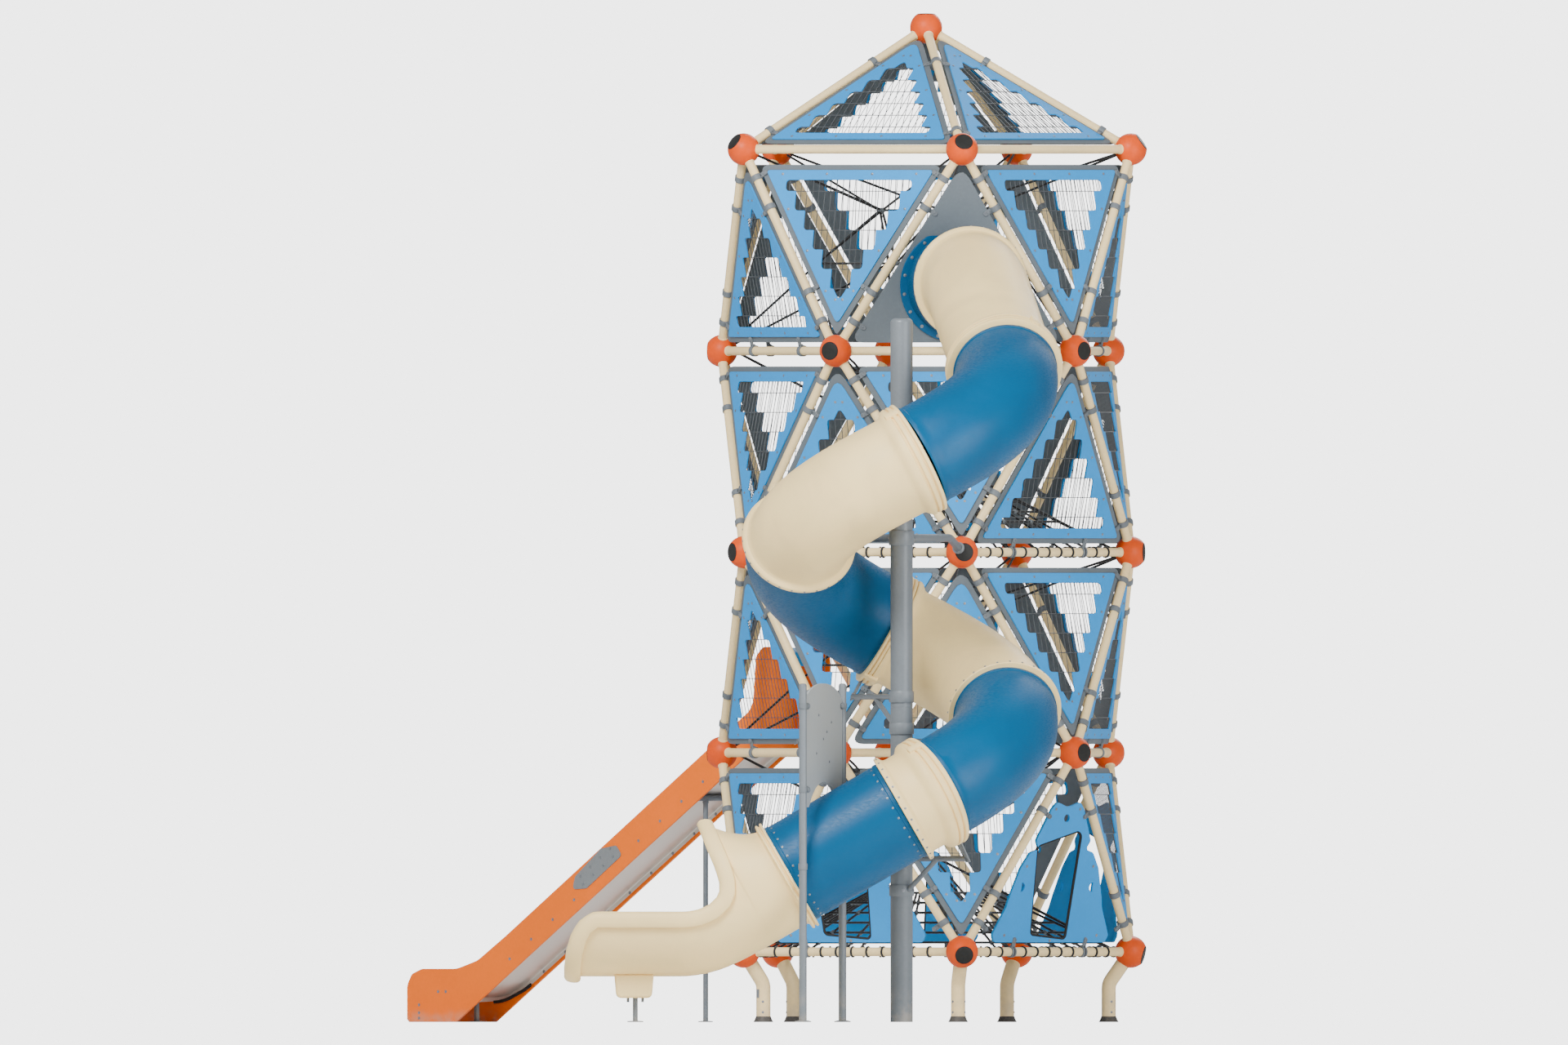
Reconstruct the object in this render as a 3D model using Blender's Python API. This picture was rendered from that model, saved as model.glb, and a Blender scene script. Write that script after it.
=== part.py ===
"""Playground tower: a five-sided node-and-tube frame with mesh panels, a spiral tube slide
around its own mast, a gantry over the end of that tube and a straight slide.

Metres, +Z up. The origin is the centre of the slide mast's foot on the ground. The tower
stands behind the mast, towards +Y, and the tube slide ends towards -X. Turns are degrees
from -Y towards +X about the tower's axis.
"""
import math

import bmesh
import bpy
from mathutils import Matrix, Vector

GAP = 0.0003                    # between two touching pieces
WELD = 0.002                    # how deep two pieces of one solid overlap
STEP = 0.0001                   # length over which a pipe swells into a flange
UP = Vector((0, 0, 1))

# Tower frame: rings 1, 3 and 5 share one set of turns, rings 2 and 4 lie halfway between
TOWER_CENTRE = Vector((0.185, 3.50, 0.0))
SIDES = 5
RING_RADIUS = 1.558
RING_HEIGHTS = {1: 0.530, 2: 2.032, 3: 3.544, 4: 5.062, 5: 6.583}
APEX_HEIGHT = 7.502
FRONT_TURN = 10.0
HUB_RADIUS = 0.1216
TUBE_RADIUS = 0.0335
TUBE_ROOT = 0.080               # from a hub's centre to a welded tube's end inside it
TUBE_SEAT = 0.112               # from a hub's centre to the flat that a bolted tube meets
CAP_FLAT = 0.099                # from a hub's centre to its capped face
CAP_TILT = {1: -15.0, 2: 0.0, 3: 0.0, 4: 0.0, 5: 35.0}

# Legs
LEG_RADIUS = 0.054
LEG_SEAT = 0.104
LEG_FOOT_REACH = 1.39
LEG_KNEE_HEIGHT = 0.29
FOOT_RADIUS = 0.074
FOOT_HEIGHT = 0.043

# Panels, measured in the plane of a face from the tube centrelines
BASE_INSET_UP = 0.067
BASE_INSET_DOWN = 0.120
SIDE_INSET = 0.058
CORNER_CUT = 0.088
DOWN_TIP_CUT = 0.030
PANEL_BACK = -0.006
PANEL_FRONT = 0.020
MESH_THICKNESS = 0.006
OPENING_BASE = 0.1185           # from a panel's base edge to its opening
OPENING_SIDE_INSET = 0.170
FIRST_ROW = 0.086
WIRE_PITCH = 0.150
OPENING_ROWS = 6
TIP_WIDTH = 0.11
TIP_HEIGHT = 0.095
SADDLE_WIDTH = 0.045
SADDLE_THICKNESS = 0.010
SADDLE_REACH = 0.112            # from a sloping tube's axis to the end of a saddle's tab
SADDLE_SHARE = 0.72             # place of a saddle along a sloping tube, from its lower end

# Tube slide
HELIX_RADIUS = 0.79
BARREL_RADIUS = 0.390
FLANGE_RADIUS = 0.444
WALL = 0.012
FLANGE_THICKNESS = 0.022
BARREL_LEAD = 0.065             # a section runs straight this far from its ends
HELIX_SLOPE = 27.5
EXIT_SLOPE = 30.0
ENTRY_HEIGHT = 5.57
ENTRY_FLAT_TOP = 5.932          # the entry flange is trimmed level here
ENTRY_LENGTH = 0.555
ELBOW_LENGTH = 1.50
STRAIGHT_LENGTH = 0.84
CHUTE_LENGTH = 1.60
QUARTER = HELIX_RADIUS * math.pi / 2
CHUTE_RIM = [(0.06, 1.60), (0.16, 1.30), (0.31, 1.05), (0.53, 0.874), (0.76, 0.765), (0.91, 0.745),
             (1.80, 0.745)]     # way along the chute and height of its rim

# Mast and its arms
MAST_RADIUS = 0.084
MAST_SIDES = 16
MAST_HEIGHT = 5.308
ARM_RADIUS = 0.030
ARM_HEIGHT = 3.651
BRACKET_RADIUS = 0.021
BRACKET_DROP = 0.24             # between a bracket's arm and the foot of its brace

# Straight slide, along its own plan direction from the tower's axis
SLIDE_TURN = -134.0
SLIDE_HALF_WIDTH = 0.2135       # to the middle of a side board
BOARD_THICKNESS = 0.019
BED_THICKNESS = 0.006
SLIDE_GRADE = 0.66              # fall for each metre of plan
SLIDE_DECK = 2.0658             # the boards rest on the ring tube here
SLIDE_POLE_REACH = 2.21
SLIDE_POLE_OFFSET = -0.105
SLIDE_EXIT_POST_REACH = 4.71

# Gantry: two posts and a board that arches over the straight tube
GANTRY_CENTRE = Vector((-0.595, -0.79, 0.0))
GANTRY_SPREAD = Vector((0.149, 0.49, 0.0))      # from its centre to its back post
GANTRY_POST_RADIUS = 0.029
GANTRY_SPACER_RADIUS = 0.016
GANTRY_TOP = 2.555
GANTRY_BOARD_LOW = 1.62
GANTRY_BOARD_RISE = 0.17        # height of the board's rounded top
GANTRY_BOARD_THICKNESS = 0.016
ARCH_RADIUS = 0.47
ARCH_TOP = 1.808

BLUE = (0.20, 0.52, 0.74)
DEEP_BLUE = (0.03, 0.28, 0.48)
BEIGE = (0.78, 0.70, 0.55)
ORANGE = (0.86, 0.30, 0.05)
SLIDE_ORANGE = (0.90, 0.42, 0.08)
STEEL = (0.40, 0.43, 0.45)
PALE_STEEL = (0.72, 0.72, 0.72)
BOARD_GREY = (0.60, 0.63, 0.64)


def clear_scene():
    for obj in list(bpy.data.objects):
        bpy.data.objects.remove(obj, do_unlink=True)


def collection(name):
    found = bpy.data.collections.new(name)
    bpy.context.scene.collection.children.link(found)
    return found


def finish(name, colour, roughness, metallic=0.0):
    material = bpy.data.materials.new(name)
    material.use_nodes = True
    shader = material.node_tree.nodes["Principled BSDF"]
    shader.inputs["Base Color"].default_value = (*colour, 1.0)
    shader.inputs["Roughness"].default_value = roughness
    shader.inputs["Metallic"].default_value = metallic
    return material


def heading(turn):
    angle = math.radians(turn)
    return Vector((math.sin(angle), -math.cos(angle), 0.0))


def plan(turn, reach, height=0.0):
    return TOWER_CENTRE + heading(turn) * reach + UP * height


def outward(point):
    return Vector((point.x - TOWER_CENTRE.x, point.y - TOWER_CENTRE.y, 0)).normalized()


def frame_along(axis, towards=UP):
    """A rotation whose Z runs along the axis and whose Y turns as near as it can to towards."""
    z = axis.normalized()
    guide = towards if abs(z.dot(towards)) < 0.99 else Vector((1, 0, 0))
    x = guide.cross(z).normalized()
    y = z.cross(x)
    return Matrix((x, y, z)).transposed()


def place(origin, rotation):
    return Matrix.Translation(origin) @ rotation.to_4x4()


def polygon_reach(axis, towards, radius, sides, direction):
    """How far a bar of few sides reaches from its axis in a direction."""
    rotation = frame_along(axis, towards)
    reach = 0.0
    for side in range(sides):
        angle = 2 * math.pi * side / sides
        corner = rotation @ Vector((math.sin(angle), math.cos(angle), 0)) * radius
        reach = max(reach, corner.dot(direction))
    return reach


def join_into(target, piece, matrix=None):
    if matrix is not None:
        bmesh.ops.transform(piece, matrix=matrix, verts=piece.verts)
    mesh = bpy.data.meshes.new("scratch")
    piece.to_mesh(mesh)
    piece.free()
    target.from_mesh(mesh)
    bpy.data.meshes.remove(mesh)


def add_bar(target, start, end, radius, sides=8, towards=UP):
    piece = bmesh.new()
    bmesh.ops.create_cone(piece, cap_ends=True, segments=sides, radius1=radius, radius2=radius,
                          depth=(end - start).length)
    join_into(target, piece, place((start + end) / 2, frame_along(end - start, towards)))


def add_box(target, low, high, matrix=None):
    piece = bmesh.new()
    bmesh.ops.create_cube(piece, size=1.0)
    bmesh.ops.scale(piece, vec=Vector(high) - Vector(low), verts=piece.verts)
    bmesh.ops.translate(piece, vec=(Vector(high) + Vector(low)) / 2, verts=piece.verts)
    join_into(target, piece, matrix)


def cut_flat(piece, point, normal):
    """Planes off what lies beyond a plane and closes the cut."""
    whole = piece.verts[:] + piece.edges[:] + piece.faces[:]
    cut = bmesh.ops.bisect_plane(piece, geom=whole, dist=1e-6, plane_co=point, plane_no=normal,
                                 clear_outer=True)
    rim = [item for item in cut["geom_cut"] if isinstance(item, bmesh.types.BMEdge)]
    bmesh.ops.edgeloop_fill(piece, edges=rim)


def curve_mesh(curve):
    """A curve's closed mesh: its caps are loose until they are welded."""
    obj = bpy.data.objects.new("scratch", curve)
    bpy.context.scene.collection.objects.link(obj)
    graph = bpy.context.evaluated_depsgraph_get()
    mesh = bpy.data.meshes.new_from_object(obj.evaluated_get(graph))
    bpy.data.objects.remove(obj)
    piece = bmesh.new()
    piece.from_mesh(mesh)
    bpy.data.meshes.remove(mesh)
    bmesh.ops.remove_doubles(piece, verts=piece.verts, dist=1e-5)
    bmesh.ops.recalc_face_normals(piece, faces=piece.faces)
    return piece


def pipe(points, radius, resolution=2, swell=None):
    """A round bar along points; swell holds a factor on the radius for each point."""
    curve = bpy.data.curves.new("pipe", "CURVE")
    curve.dimensions = "3D"
    curve.bevel_depth = radius
    curve.bevel_resolution = resolution
    curve.use_fill_caps = True
    spline = curve.splines.new("POLY")
    spline.points.add(len(points) - 1)
    for index, point in enumerate(points):
        spline.points[index].co = (*point, 1.0)
        spline.points[index].radius = swell[index] if swell else 1.0
    piece = curve_mesh(curve)
    bpy.data.curves.remove(curve)
    return piece


def add_plate(target, outlines, low, high, matrix):
    """A flat plate between two heights; the outlines after the first are holes."""
    curve = bpy.data.curves.new("plate", "CURVE")
    curve.dimensions = "2D"
    curve.fill_mode = "BOTH"
    curve.extrude = (high - low) / 2
    for outline in outlines:
        spline = curve.splines.new("POLY")
        spline.points.add(len(outline) - 1)
        spline.use_cyclic_u = True
        for index, (u, v) in enumerate(outline):
            spline.points[index].co = (u, v, 0.0, 1.0)
    join_into(target, curve_mesh(curve), matrix @ Matrix.Translation((0, 0, (high + low) / 2)))
    bpy.data.curves.remove(curve)


def arc(centre, radius, start, end, steps):
    """Points on an arc, with its angles in degrees."""
    points = []
    for step in range(steps + 1):
        angle = math.radians(start + (end - start) * step / steps)
        points.append((centre[0] + radius * math.cos(angle), centre[1] + radius * math.sin(angle)))
    return points


def new_node(group, name, target, material):
    mesh = bpy.data.meshes.new(name)
    target.to_mesh(mesh)
    target.free()
    mesh.materials.append(material)
    mesh.shade_smooth()
    mesh.set_sharp_from_angle(angle=math.radians(35))
    obj = bpy.data.objects.new(name, mesh)
    group.objects.link(obj)
    return obj


def combine(node, cutters, name, target, material, operation):
    """Joins or cuts a node with another solid, which is kept out of the part."""
    tool = new_node(cutters, name, target, material)
    tool.hide_render = True
    tool.display_type = "WIRE"
    step = node.modifiers.new(name, "BOOLEAN")
    step.operation = operation
    step.solver = "EXACT"
    step.material_mode = "TRANSFER"
    step.object = tool


# Places in the tower's frame

def hub_turn(ring, index):
    half = 0.0 if ring % 2 else 180.0 / SIDES
    return FRONT_TURN + half + index * 360.0 / SIDES


def hub_place(key):
    if key == "apex":
        return TOWER_CENTRE + UP * APEX_HEIGHT
    ring, index = key
    return plan(hub_turn(ring, index), RING_RADIUS, RING_HEIGHTS[ring])


def struts(ring):
    """The sloping tubes that rise from a ring, as lower and upper hubs."""
    found = []
    for index in range(SIDES):
        if ring == 5:
            found.append(((ring, index), "apex"))
        else:
            other = (index - 1) % SIDES if ring % 2 else (index + 1) % SIDES
            found.append(((ring, index), (ring + 1, index)))
            found.append(((ring, index), (ring + 1, other)))
    return found


def strut_guide(lower, upper):
    """The way that a sloping tube's corner points, midway between its two faces."""
    if upper == "apex":
        return UP
    return outward((hub_place(lower) + hub_place(upper)) / 2)


def leg_knee(index):
    return plan(hub_turn(1, index), LEG_FOOT_REACH, LEG_KNEE_HEIGHT)


def cap_direction(key):
    if key == "apex":
        return UP
    tilt = math.radians(CAP_TILT[key[0]])
    return heading(hub_turn(*key)) * math.cos(tilt) + UP * math.sin(tilt)


ARM_HUBS = {"front": (3, 0), "left": (3, 4)}


def arm_knee(key):
    """Where an arm from the mast leaves its level run and bends down to its hub."""
    out = hub_place(key)
    return Vector((0, 0, ARM_HEIGHT)).lerp(Vector((out.x, out.y, ARM_HEIGHT)), 0.80)


def bolted_directions(key):
    """The seats on a hub for what isn't welded to it: direction and distance."""
    seats = [(cap_direction(key), CAP_FLAT)]
    centre = hub_place(key)
    below = 5 if key == "apex" else key[0] - 1
    for lower, upper in struts(below) if below else []:
        if upper == key:
            seats.append(((hub_place(lower) - centre).normalized(), TUBE_SEAT))
    if key != "apex" and key[0] == 1:
        seats.append(((leg_knee(key[1]) - centre).normalized(), LEG_SEAT))
    if key == ARM_HUBS["left"]:
        seats.append(((arm_knee(key) - centre).normalized(), TUBE_SEAT))
    return seats


def add_hub(target, key):
    piece = bmesh.new()
    bmesh.ops.create_icosphere(piece, subdivisions=2, radius=HUB_RADIUS)
    for direction, distance in bolted_directions(key):
        cut_flat(piece, direction * distance, direction)
    join_into(target, piece, Matrix.Translation(hub_place(key)))


def build_frame(group, cutters, finishes):
    """Each level is one weldment: a ring of hubs and tubes with the struts that rise from it."""
    for ring in RING_HEIGHTS:
        hubs = bmesh.new()
        bars = bmesh.new()
        for index in range(SIDES):
            add_hub(hubs, (ring, index))
            a, b = hub_place((ring, index)), hub_place((ring, (index + 1) % SIDES))
            root = (b - a).normalized() * TUBE_ROOT
            add_bar(bars, a + root, b - root, TUBE_RADIUS, towards=outward((a + b) / 2))
        for lower, upper in struts(ring):
            a, b = hub_place(lower), hub_place(upper)
            way = (b - a).normalized()
            end = b - way * (TUBE_SEAT + GAP)
            add_bar(bars, a + way * TUBE_ROOT, end, TUBE_RADIUS, towards=strut_guide(lower, upper))
        level = new_node(group, f"frame_level_{ring}", hubs, finishes["orange"])
        combine(level, cutters, f"frame_bars_{ring}", bars, finishes["beige"], "UNION")
    top = bmesh.new()
    add_hub(top, "apex")
    new_node(group, "apex_hub", top, finishes["orange"])


def build_legs(group, finishes):
    for index in range(SIDES):
        top = hub_place((1, index))
        knee = leg_knee(index)
        ground = Vector((knee.x, knee.y, 0))
        start = top + (knee - top).normalized() * (LEG_SEAT + GAP)
        rim = ground + UP * FOOT_HEIGHT
        swell = FOOT_RADIUS / LEG_RADIUS
        leg = pipe([start, knee, rim + UP * STEP, rim, ground], LEG_RADIUS, 3,
                   [1.0, 1.0, 1.0, swell, swell])
        new_node(group, f"leg_{index + 1}", leg, finishes["beige"])


# Panels

def faces(level):
    """The faces of a level as a kind, two base hubs and a tip."""
    found = []
    for index in range(SIDES):
        after = (index + 1) % SIDES
        if level == 5:
            found.append(("up", (5, index), (5, after), "apex"))
        else:
            up_tip = (level + 1, index if level % 2 else after)
            down_tip = (level, after if level % 2 else index)
            found.append(("up", (level, index), (level, after), up_tip))
            found.append(("down", (level + 1, index), (level + 1, after), down_tip))
    return found


def face_use(level, kind, tip):
    if level == 4 and kind == "up" and tip == (5, 0):
        return "entry"
    if level == 2 and kind == "up" and tip == (3, 3):
        return "slide"
    if level == 1 and kind == "up":
        return "climb"
    return "mesh"


def face_frame(start, end, tip):
    """A face's base middle as origin, X along the base, Y towards the tip, Z outwards."""
    a, b, c = hub_place(start), hub_place(end), hub_place(tip)
    middle = (a + b) / 2
    y = (c - middle).normalized()
    x = (b - a).normalized()
    z = x.cross(y)
    if z.dot(middle - TOWER_CENTRE) < 0:
        x, z = -x, -z
    return place(middle, Matrix((x, y, z)).transposed()), (b - a).length / 2, (c - middle).length


def side_line(half, height, inset):
    """Half-width at the base of an inset triangle, and its loss for each metre of rise."""
    slope = half / height
    return half - inset * math.hypot(1, slope), slope


def mirrored(points):
    return points + [(-u, v) for u, v in reversed(points) if u > 1e-9]


def panel_outline(half, height, kind):
    base = BASE_INSET_UP if kind == "up" else BASE_INSET_DOWN
    tip_cut = CORNER_CUT if kind == "up" else DOWN_TIP_CUT
    width, slope = side_line(half, height, SIDE_INSET)
    corner = width - slope * base
    way = Vector((-slope, 1.0)).normalized()
    return mirrored([(corner - CORNER_CUT, base),
                     (corner + way.x * CORNER_CUT, base + way.y * CORNER_CUT),
                     (-way.x * tip_cut, width / slope - way.y * tip_cut)])


def stepped_opening(half, height, kind):
    """Rows that follow the wires of the mesh and step in along both sides to a small tip."""
    low = (BASE_INSET_UP if kind == "up" else BASE_INSET_DOWN) + OPENING_BASE
    width, slope = side_line(half, height, OPENING_SIDE_INSET)
    points = []
    high = low + FIRST_ROW
    for row in range(OPENING_ROWS):
        points += [(width - slope * high, low), (width - slope * high, high)]
        low = high
        high = low + WIRE_PITCH
    return mirrored(points + [(TIP_WIDTH / 2, low), (0.0, low + TIP_HEIGHT)])


CLIMB_OUTLINE = [(0.60, 0.075), (0.63, 0.13), (0.52, 0.34), (0.50, 0.42), (0.42, 0.65), (0.34, 0.766),
                 (0.27, 0.785), (0.267, 0.81), (0.296, 0.855), (0.175, 1.10), (0.124, 1.155), (0.0, 1.113)]
CLIMB_HOLE = [(-0.20, 0.13), (0.15, 0.10), (0.17, 0.12), (0.19, 0.90), (0.145, 0.93), (-0.255, 0.82),
              (-0.27, 0.79), (-0.22, 0.15)]


def add_panel(plates, windows, level, kind, start, end, tip):
    matrix, half, height = face_frame(start, end, tip)
    use = face_use(level, kind, tip)
    if use == "climb":
        add_plate(plates, [mirrored(CLIMB_OUTLINE), CLIMB_HOLE], PANEL_BACK, PANEL_FRONT, matrix)
    if use in ("mesh", "entry"):
        add_plate(plates, [panel_outline(half, height, kind)], PANEL_BACK, PANEL_FRONT, matrix)
    if use == "mesh":
        opening = stepped_opening(half, height, kind)
        add_plate(windows, [opening], PANEL_BACK + MESH_THICKNESS, PANEL_FRONT + 0.05, matrix)


def face_of(level, first, second):
    """The faces of a level that share a sloping tube."""
    return [face for face in faces(level) if first in face[1:] and second in face[1:]]


def saddle_outline(fold):
    """Across a sloping tube: over its outer corners and down onto the panels at both sides."""
    inner = TUBE_RADIUS + GAP
    sin, cos = math.sin(fold), math.cos(fold)

    def on_panel(reach, height):
        return reach * cos + height * sin, height * cos - reach * sin

    root = PANEL_FRONT - WELD
    right = [(inner, inner), on_panel(inner + SADDLE_THICKNESS, root), on_panel(SADDLE_REACH, root),
             on_panel(SADDLE_REACH, PANEL_FRONT + SADDLE_THICKNESS), (inner * 0.7, inner + SADDLE_THICKNESS)]
    return mirrored(right)


def add_saddle(target, level, lower, upper):
    a, b = hub_place(lower), hub_place(upper)
    axis = (b - a).normalized()
    rotation = frame_along(axis, strut_guide(lower, upper))
    pair = face_of(level, lower, upper)
    if any(face_use(level, face[0], face[3]) == "slide" for face in pair):
        return
    normal = face_frame(*pair[0][1:])[0].col[2].to_3d()
    fold = rotation.col[1].angle(normal)
    matrix = place(a.lerp(b, SADDLE_SHARE), rotation)
    add_plate(target, [saddle_outline(fold)], -SADDLE_WIDTH / 2, SADDLE_WIDTH / 2, matrix)


def entry_bore():
    start = slide_start()
    way = heading(FRONT_TURN)
    bore = [start - way * 0.3, start + way * (ENTRY_LENGTH + 0.1)]
    return pipe(bore, BARREL_RADIUS - WALL, TUBE_FINENESS)


def build_panels(group, cutters, finishes):
    """The panels of a level hang together by the saddles that clamp them to its struts.

    A sheet closes each window where the real panel has its wire mesh."""
    for level in RING_HEIGHTS:
        plates = bmesh.new()
        windows = bmesh.new()
        saddles = bmesh.new()
        for face in faces(level):
            add_panel(plates, windows, level, *face)
        for lower, upper in struts(level):
            add_saddle(saddles, level, lower, upper)
        name = f"level_{level}_panels" if level < 5 else "roof_panels"
        node = new_node(group, name, plates, finishes["blue"])
        combine(node, cutters, f"windows_{level}", windows, finishes["steel"], "DIFFERENCE")
        combine(node, cutters, f"saddles_{level}", saddles, finishes["steel"], "UNION")
        if level == 4:
            combine(node, cutters, "entry_hole", entry_bore(), finishes["blue"], "DIFFERENCE")


# Tube slide

def slide_start():
    """The tube's centre on the entry face, found back from the first bend."""
    angle = math.radians(FRONT_TURN)
    first = Vector((math.cos(angle), math.sin(angle), 0)) * HELIX_RADIUS
    start = first - heading(FRONT_TURN) * (ENTRY_LENGTH + ELBOW_LENGTH)
    return start + UP * ENTRY_HEIGHT


COURSE = [
    # name, finish, plan length, turn, slopes as (share of the length, at its start, at its end)
    ("tube_elbow", "beige", ELBOW_LENGTH, 0.0, [(0.3, 0.0, HELIX_SLOPE), (0.7, HELIX_SLOPE, HELIX_SLOPE)]),
    ("tube_bend_1", "deep_blue", QUARTER, 90.0, [(1.0, HELIX_SLOPE, HELIX_SLOPE)]),
    ("tube_bend_2", "beige", QUARTER, 90.0, [(1.0, HELIX_SLOPE, HELIX_SLOPE)]),
    ("tube_bend_3", "deep_blue", QUARTER, 90.0, [(1.0, HELIX_SLOPE, HELIX_SLOPE)]),
    ("tube_bend_4", "beige", QUARTER, 90.0, [(1.0, HELIX_SLOPE, HELIX_SLOPE)]),
    ("tube_bend_5", "deep_blue", QUARTER * 80 / 90, 80.0, [(1.0, HELIX_SLOPE, HELIX_SLOPE)]),
    ("tube_short", "beige", QUARTER * 20 / 90, 20.0, [(1.0, HELIX_SLOPE, EXIT_SLOPE)]),
    ("tube_straight", "deep_blue", STRAIGHT_LENGTH, 0.0, [(1.0, EXIT_SLOPE, EXIT_SLOPE)]),
    ("exit_chute", "beige", CHUTE_LENGTH, 0.0,
     [(0.325, EXIT_SLOPE, EXIT_SLOPE), (0.1875, EXIT_SLOPE, 0.0), (0.4875, 0.0, 0.0)]),
]
FINE_STEPS = 80
BEND_STEPS = 5
OTHER_STEPS = {"tube_elbow": 4, "tube_short": 2, "tube_straight": 1, "exit_chute": 8}
TUBE_FINENESS = 4               # makes twelve sides


def slope_at(slopes, share):
    passed = 0.0
    for part, start, end in slopes:
        if share < passed + part:
            return start + (end - start) * (share - passed) / part
        passed += part
    return slopes[-1][2]


def march(start, turn, length, bend, slopes, steps):
    """Points along a section, which bends clockwise seen from above."""
    point = start.copy()
    points = [start]
    for index in range(FINE_STEPS):
        share = (index + 0.5) / FINE_STEPS
        fall = math.tan(math.radians(slope_at(slopes, share)))
        point = point + (heading(turn - bend * share) - UP * fall) * (length / FINE_STEPS)
        if (index + 1) % (FINE_STEPS // steps) == 0:
            points.append(point.copy())
    return points


def tube_direction(turn, slope):
    angle = math.radians(slope)
    return heading(turn) * math.cos(angle) - UP * math.sin(angle)


def sections():
    """The course worked out: each section's points and its directions at both ends."""
    point = slide_start() + heading(FRONT_TURN) * ENTRY_LENGTH
    turn = FRONT_TURN
    for name, colour, length, bend, slopes in COURSE:
        points = march(point, turn, length, bend, slopes, OTHER_STEPS.get(name, BEND_STEPS))
        first = tube_direction(turn, slopes[0][1])
        turn -= bend
        yield name, colour, points, first, tube_direction(turn, slopes[-1][2])
        point = points[-1]


def tube_path(points, first, last, open_end=False):
    """The outside of a section: a flange, the barrel and a flange, as points and factors."""
    swell = FLANGE_RADIUS / BARREL_RADIUS
    begin = points[0] + first * GAP / 2
    end = points[-1] - last * GAP / 2
    path = [begin, begin + first * FLANGE_THICKNESS, begin + first * (FLANGE_THICKNESS + STEP)]
    path += [begin + first * BARREL_LEAD] + points[1:-1]
    factors = [swell, swell] + [1.0] * len(points)
    if open_end:
        return path + [end], factors + [1.0]
    path += [end - last * BARREL_LEAD, end - last * (FLANGE_THICKNESS + STEP)]
    path += [end - last * FLANGE_THICKNESS, end]
    return path, factors + [1.0, 1.0, swell, swell]


def bore_path(points, first, last):
    begin, end = points[0], points[-1]
    return ([begin - first * 0.05, begin + first * BARREL_LEAD] + points[1:-1]
            + [end - last * BARREL_LEAD, end + last * 0.05])


def build_tube_slide(group, cutters, finishes):
    for name, colour, points, first, last in sections():
        chute = name == "exit_chute"
        path, factors = tube_path(points, first, last, open_end=chute)
        tube = new_node(group, name, pipe(path, BARREL_RADIUS, TUBE_FINENESS, factors), finishes[colour])
        bore = pipe(bore_path(points, first, last), BARREL_RADIUS - WALL, TUBE_FINENESS)
        combine(tube, cutters, name + "_bore", bore, finishes[colour], "DIFFERENCE")
        if chute:
            origin = Vector((points[0].x, points[0].y, 0))
            matrix = place(origin, Matrix((last, UP, last.cross(UP))).transposed())
            above = CHUTE_RIM + [(1.80, 2.2), (0.06, 2.2)]
            mouth = bmesh.new()
            add_plate(mouth, [above], -0.6, 0.6, matrix)
            combine(tube, cutters, "chute_mouth", mouth, finishes[colour], "DIFFERENCE")


def build_tube_entry(group, cutters, finishes):
    """A flange on the entry panel, trimmed level on top, and a short level barrel."""
    matrix = face_frame((4, 4), (4, 0), (5, 0))[0]
    normal = matrix.col[2].to_3d()
    start = slide_start()
    way = heading(FRONT_TURN)
    face = start + normal * (PANEL_FRONT + GAP)
    end = start + way * (ENTRY_LENGTH - GAP / 2)
    swell = FLANGE_RADIUS / BARREL_RADIUS
    path = [start - way * 0.2, end - way * (FLANGE_THICKNESS + STEP), end - way * FLANGE_THICKNESS, end]
    barrel = pipe(path, BARREL_RADIUS, TUBE_FINENESS, [1.0, 1.0, swell, swell])
    cut_flat(barrel, face, -normal)
    node = new_node(group, "tube_entry", barrel, finishes["deep_blue"])
    flange = bmesh.new()
    add_bar(flange, face, face + normal * FLANGE_THICKNESS, FLANGE_RADIUS, sides=20)
    cut_flat(flange, Vector((0, 0, ENTRY_FLAT_TOP)), UP)
    combine(node, cutters, "tube_entry_flange", flange, finishes["deep_blue"], "UNION")
    combine(node, cutters, "tube_entry_bore", entry_bore(), finishes["deep_blue"], "DIFFERENCE")


def support_block(group, cutters, finishes, chute):
    """A moulded foot under the run-out, on a post."""
    low = min(point.z for point in chute) - BARREL_RADIUS
    block = bmesh.new()
    add_box(block, (-2.16, chute[0].y - 0.12, 0.185), (-1.88, chute[0].y + 0.12, low - GAP))
    node = new_node(group, "chute_foot", block, finishes["beige"])
    post = bmesh.new()
    add_bar(post, Vector((-2.008, chute[0].y, 0)), Vector((-2.008, chute[0].y, 0.20)), 0.019)
    combine(node, cutters, "chute_foot_post", post, finishes["steel"], "UNION")


# Mast

def mast_reach(direction):
    return polygon_reach(UP, UP, MAST_RADIUS, MAST_SIDES, direction)


def build_mast(group, finishes):
    mast = bmesh.new()
    bmesh.ops.create_cone(mast, cap_ends=True, segments=MAST_SIDES, radius1=MAST_RADIUS,
                          radius2=MAST_RADIUS, depth=MAST_HEIGHT)
    bmesh.ops.translate(mast, vec=(0, 0, MAST_HEIGHT / 2), verts=mast.verts)
    top = [edge for edge in mast.edges if all(vert.co.z > MAST_HEIGHT - 0.001 for vert in edge.verts)]
    bmesh.ops.bevel(mast, geom=top, offset=0.03, segments=2, profile=0.5, affect="EDGES", material=-1)
    new_node(group, "mast", mast, finishes["steel"])


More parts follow.
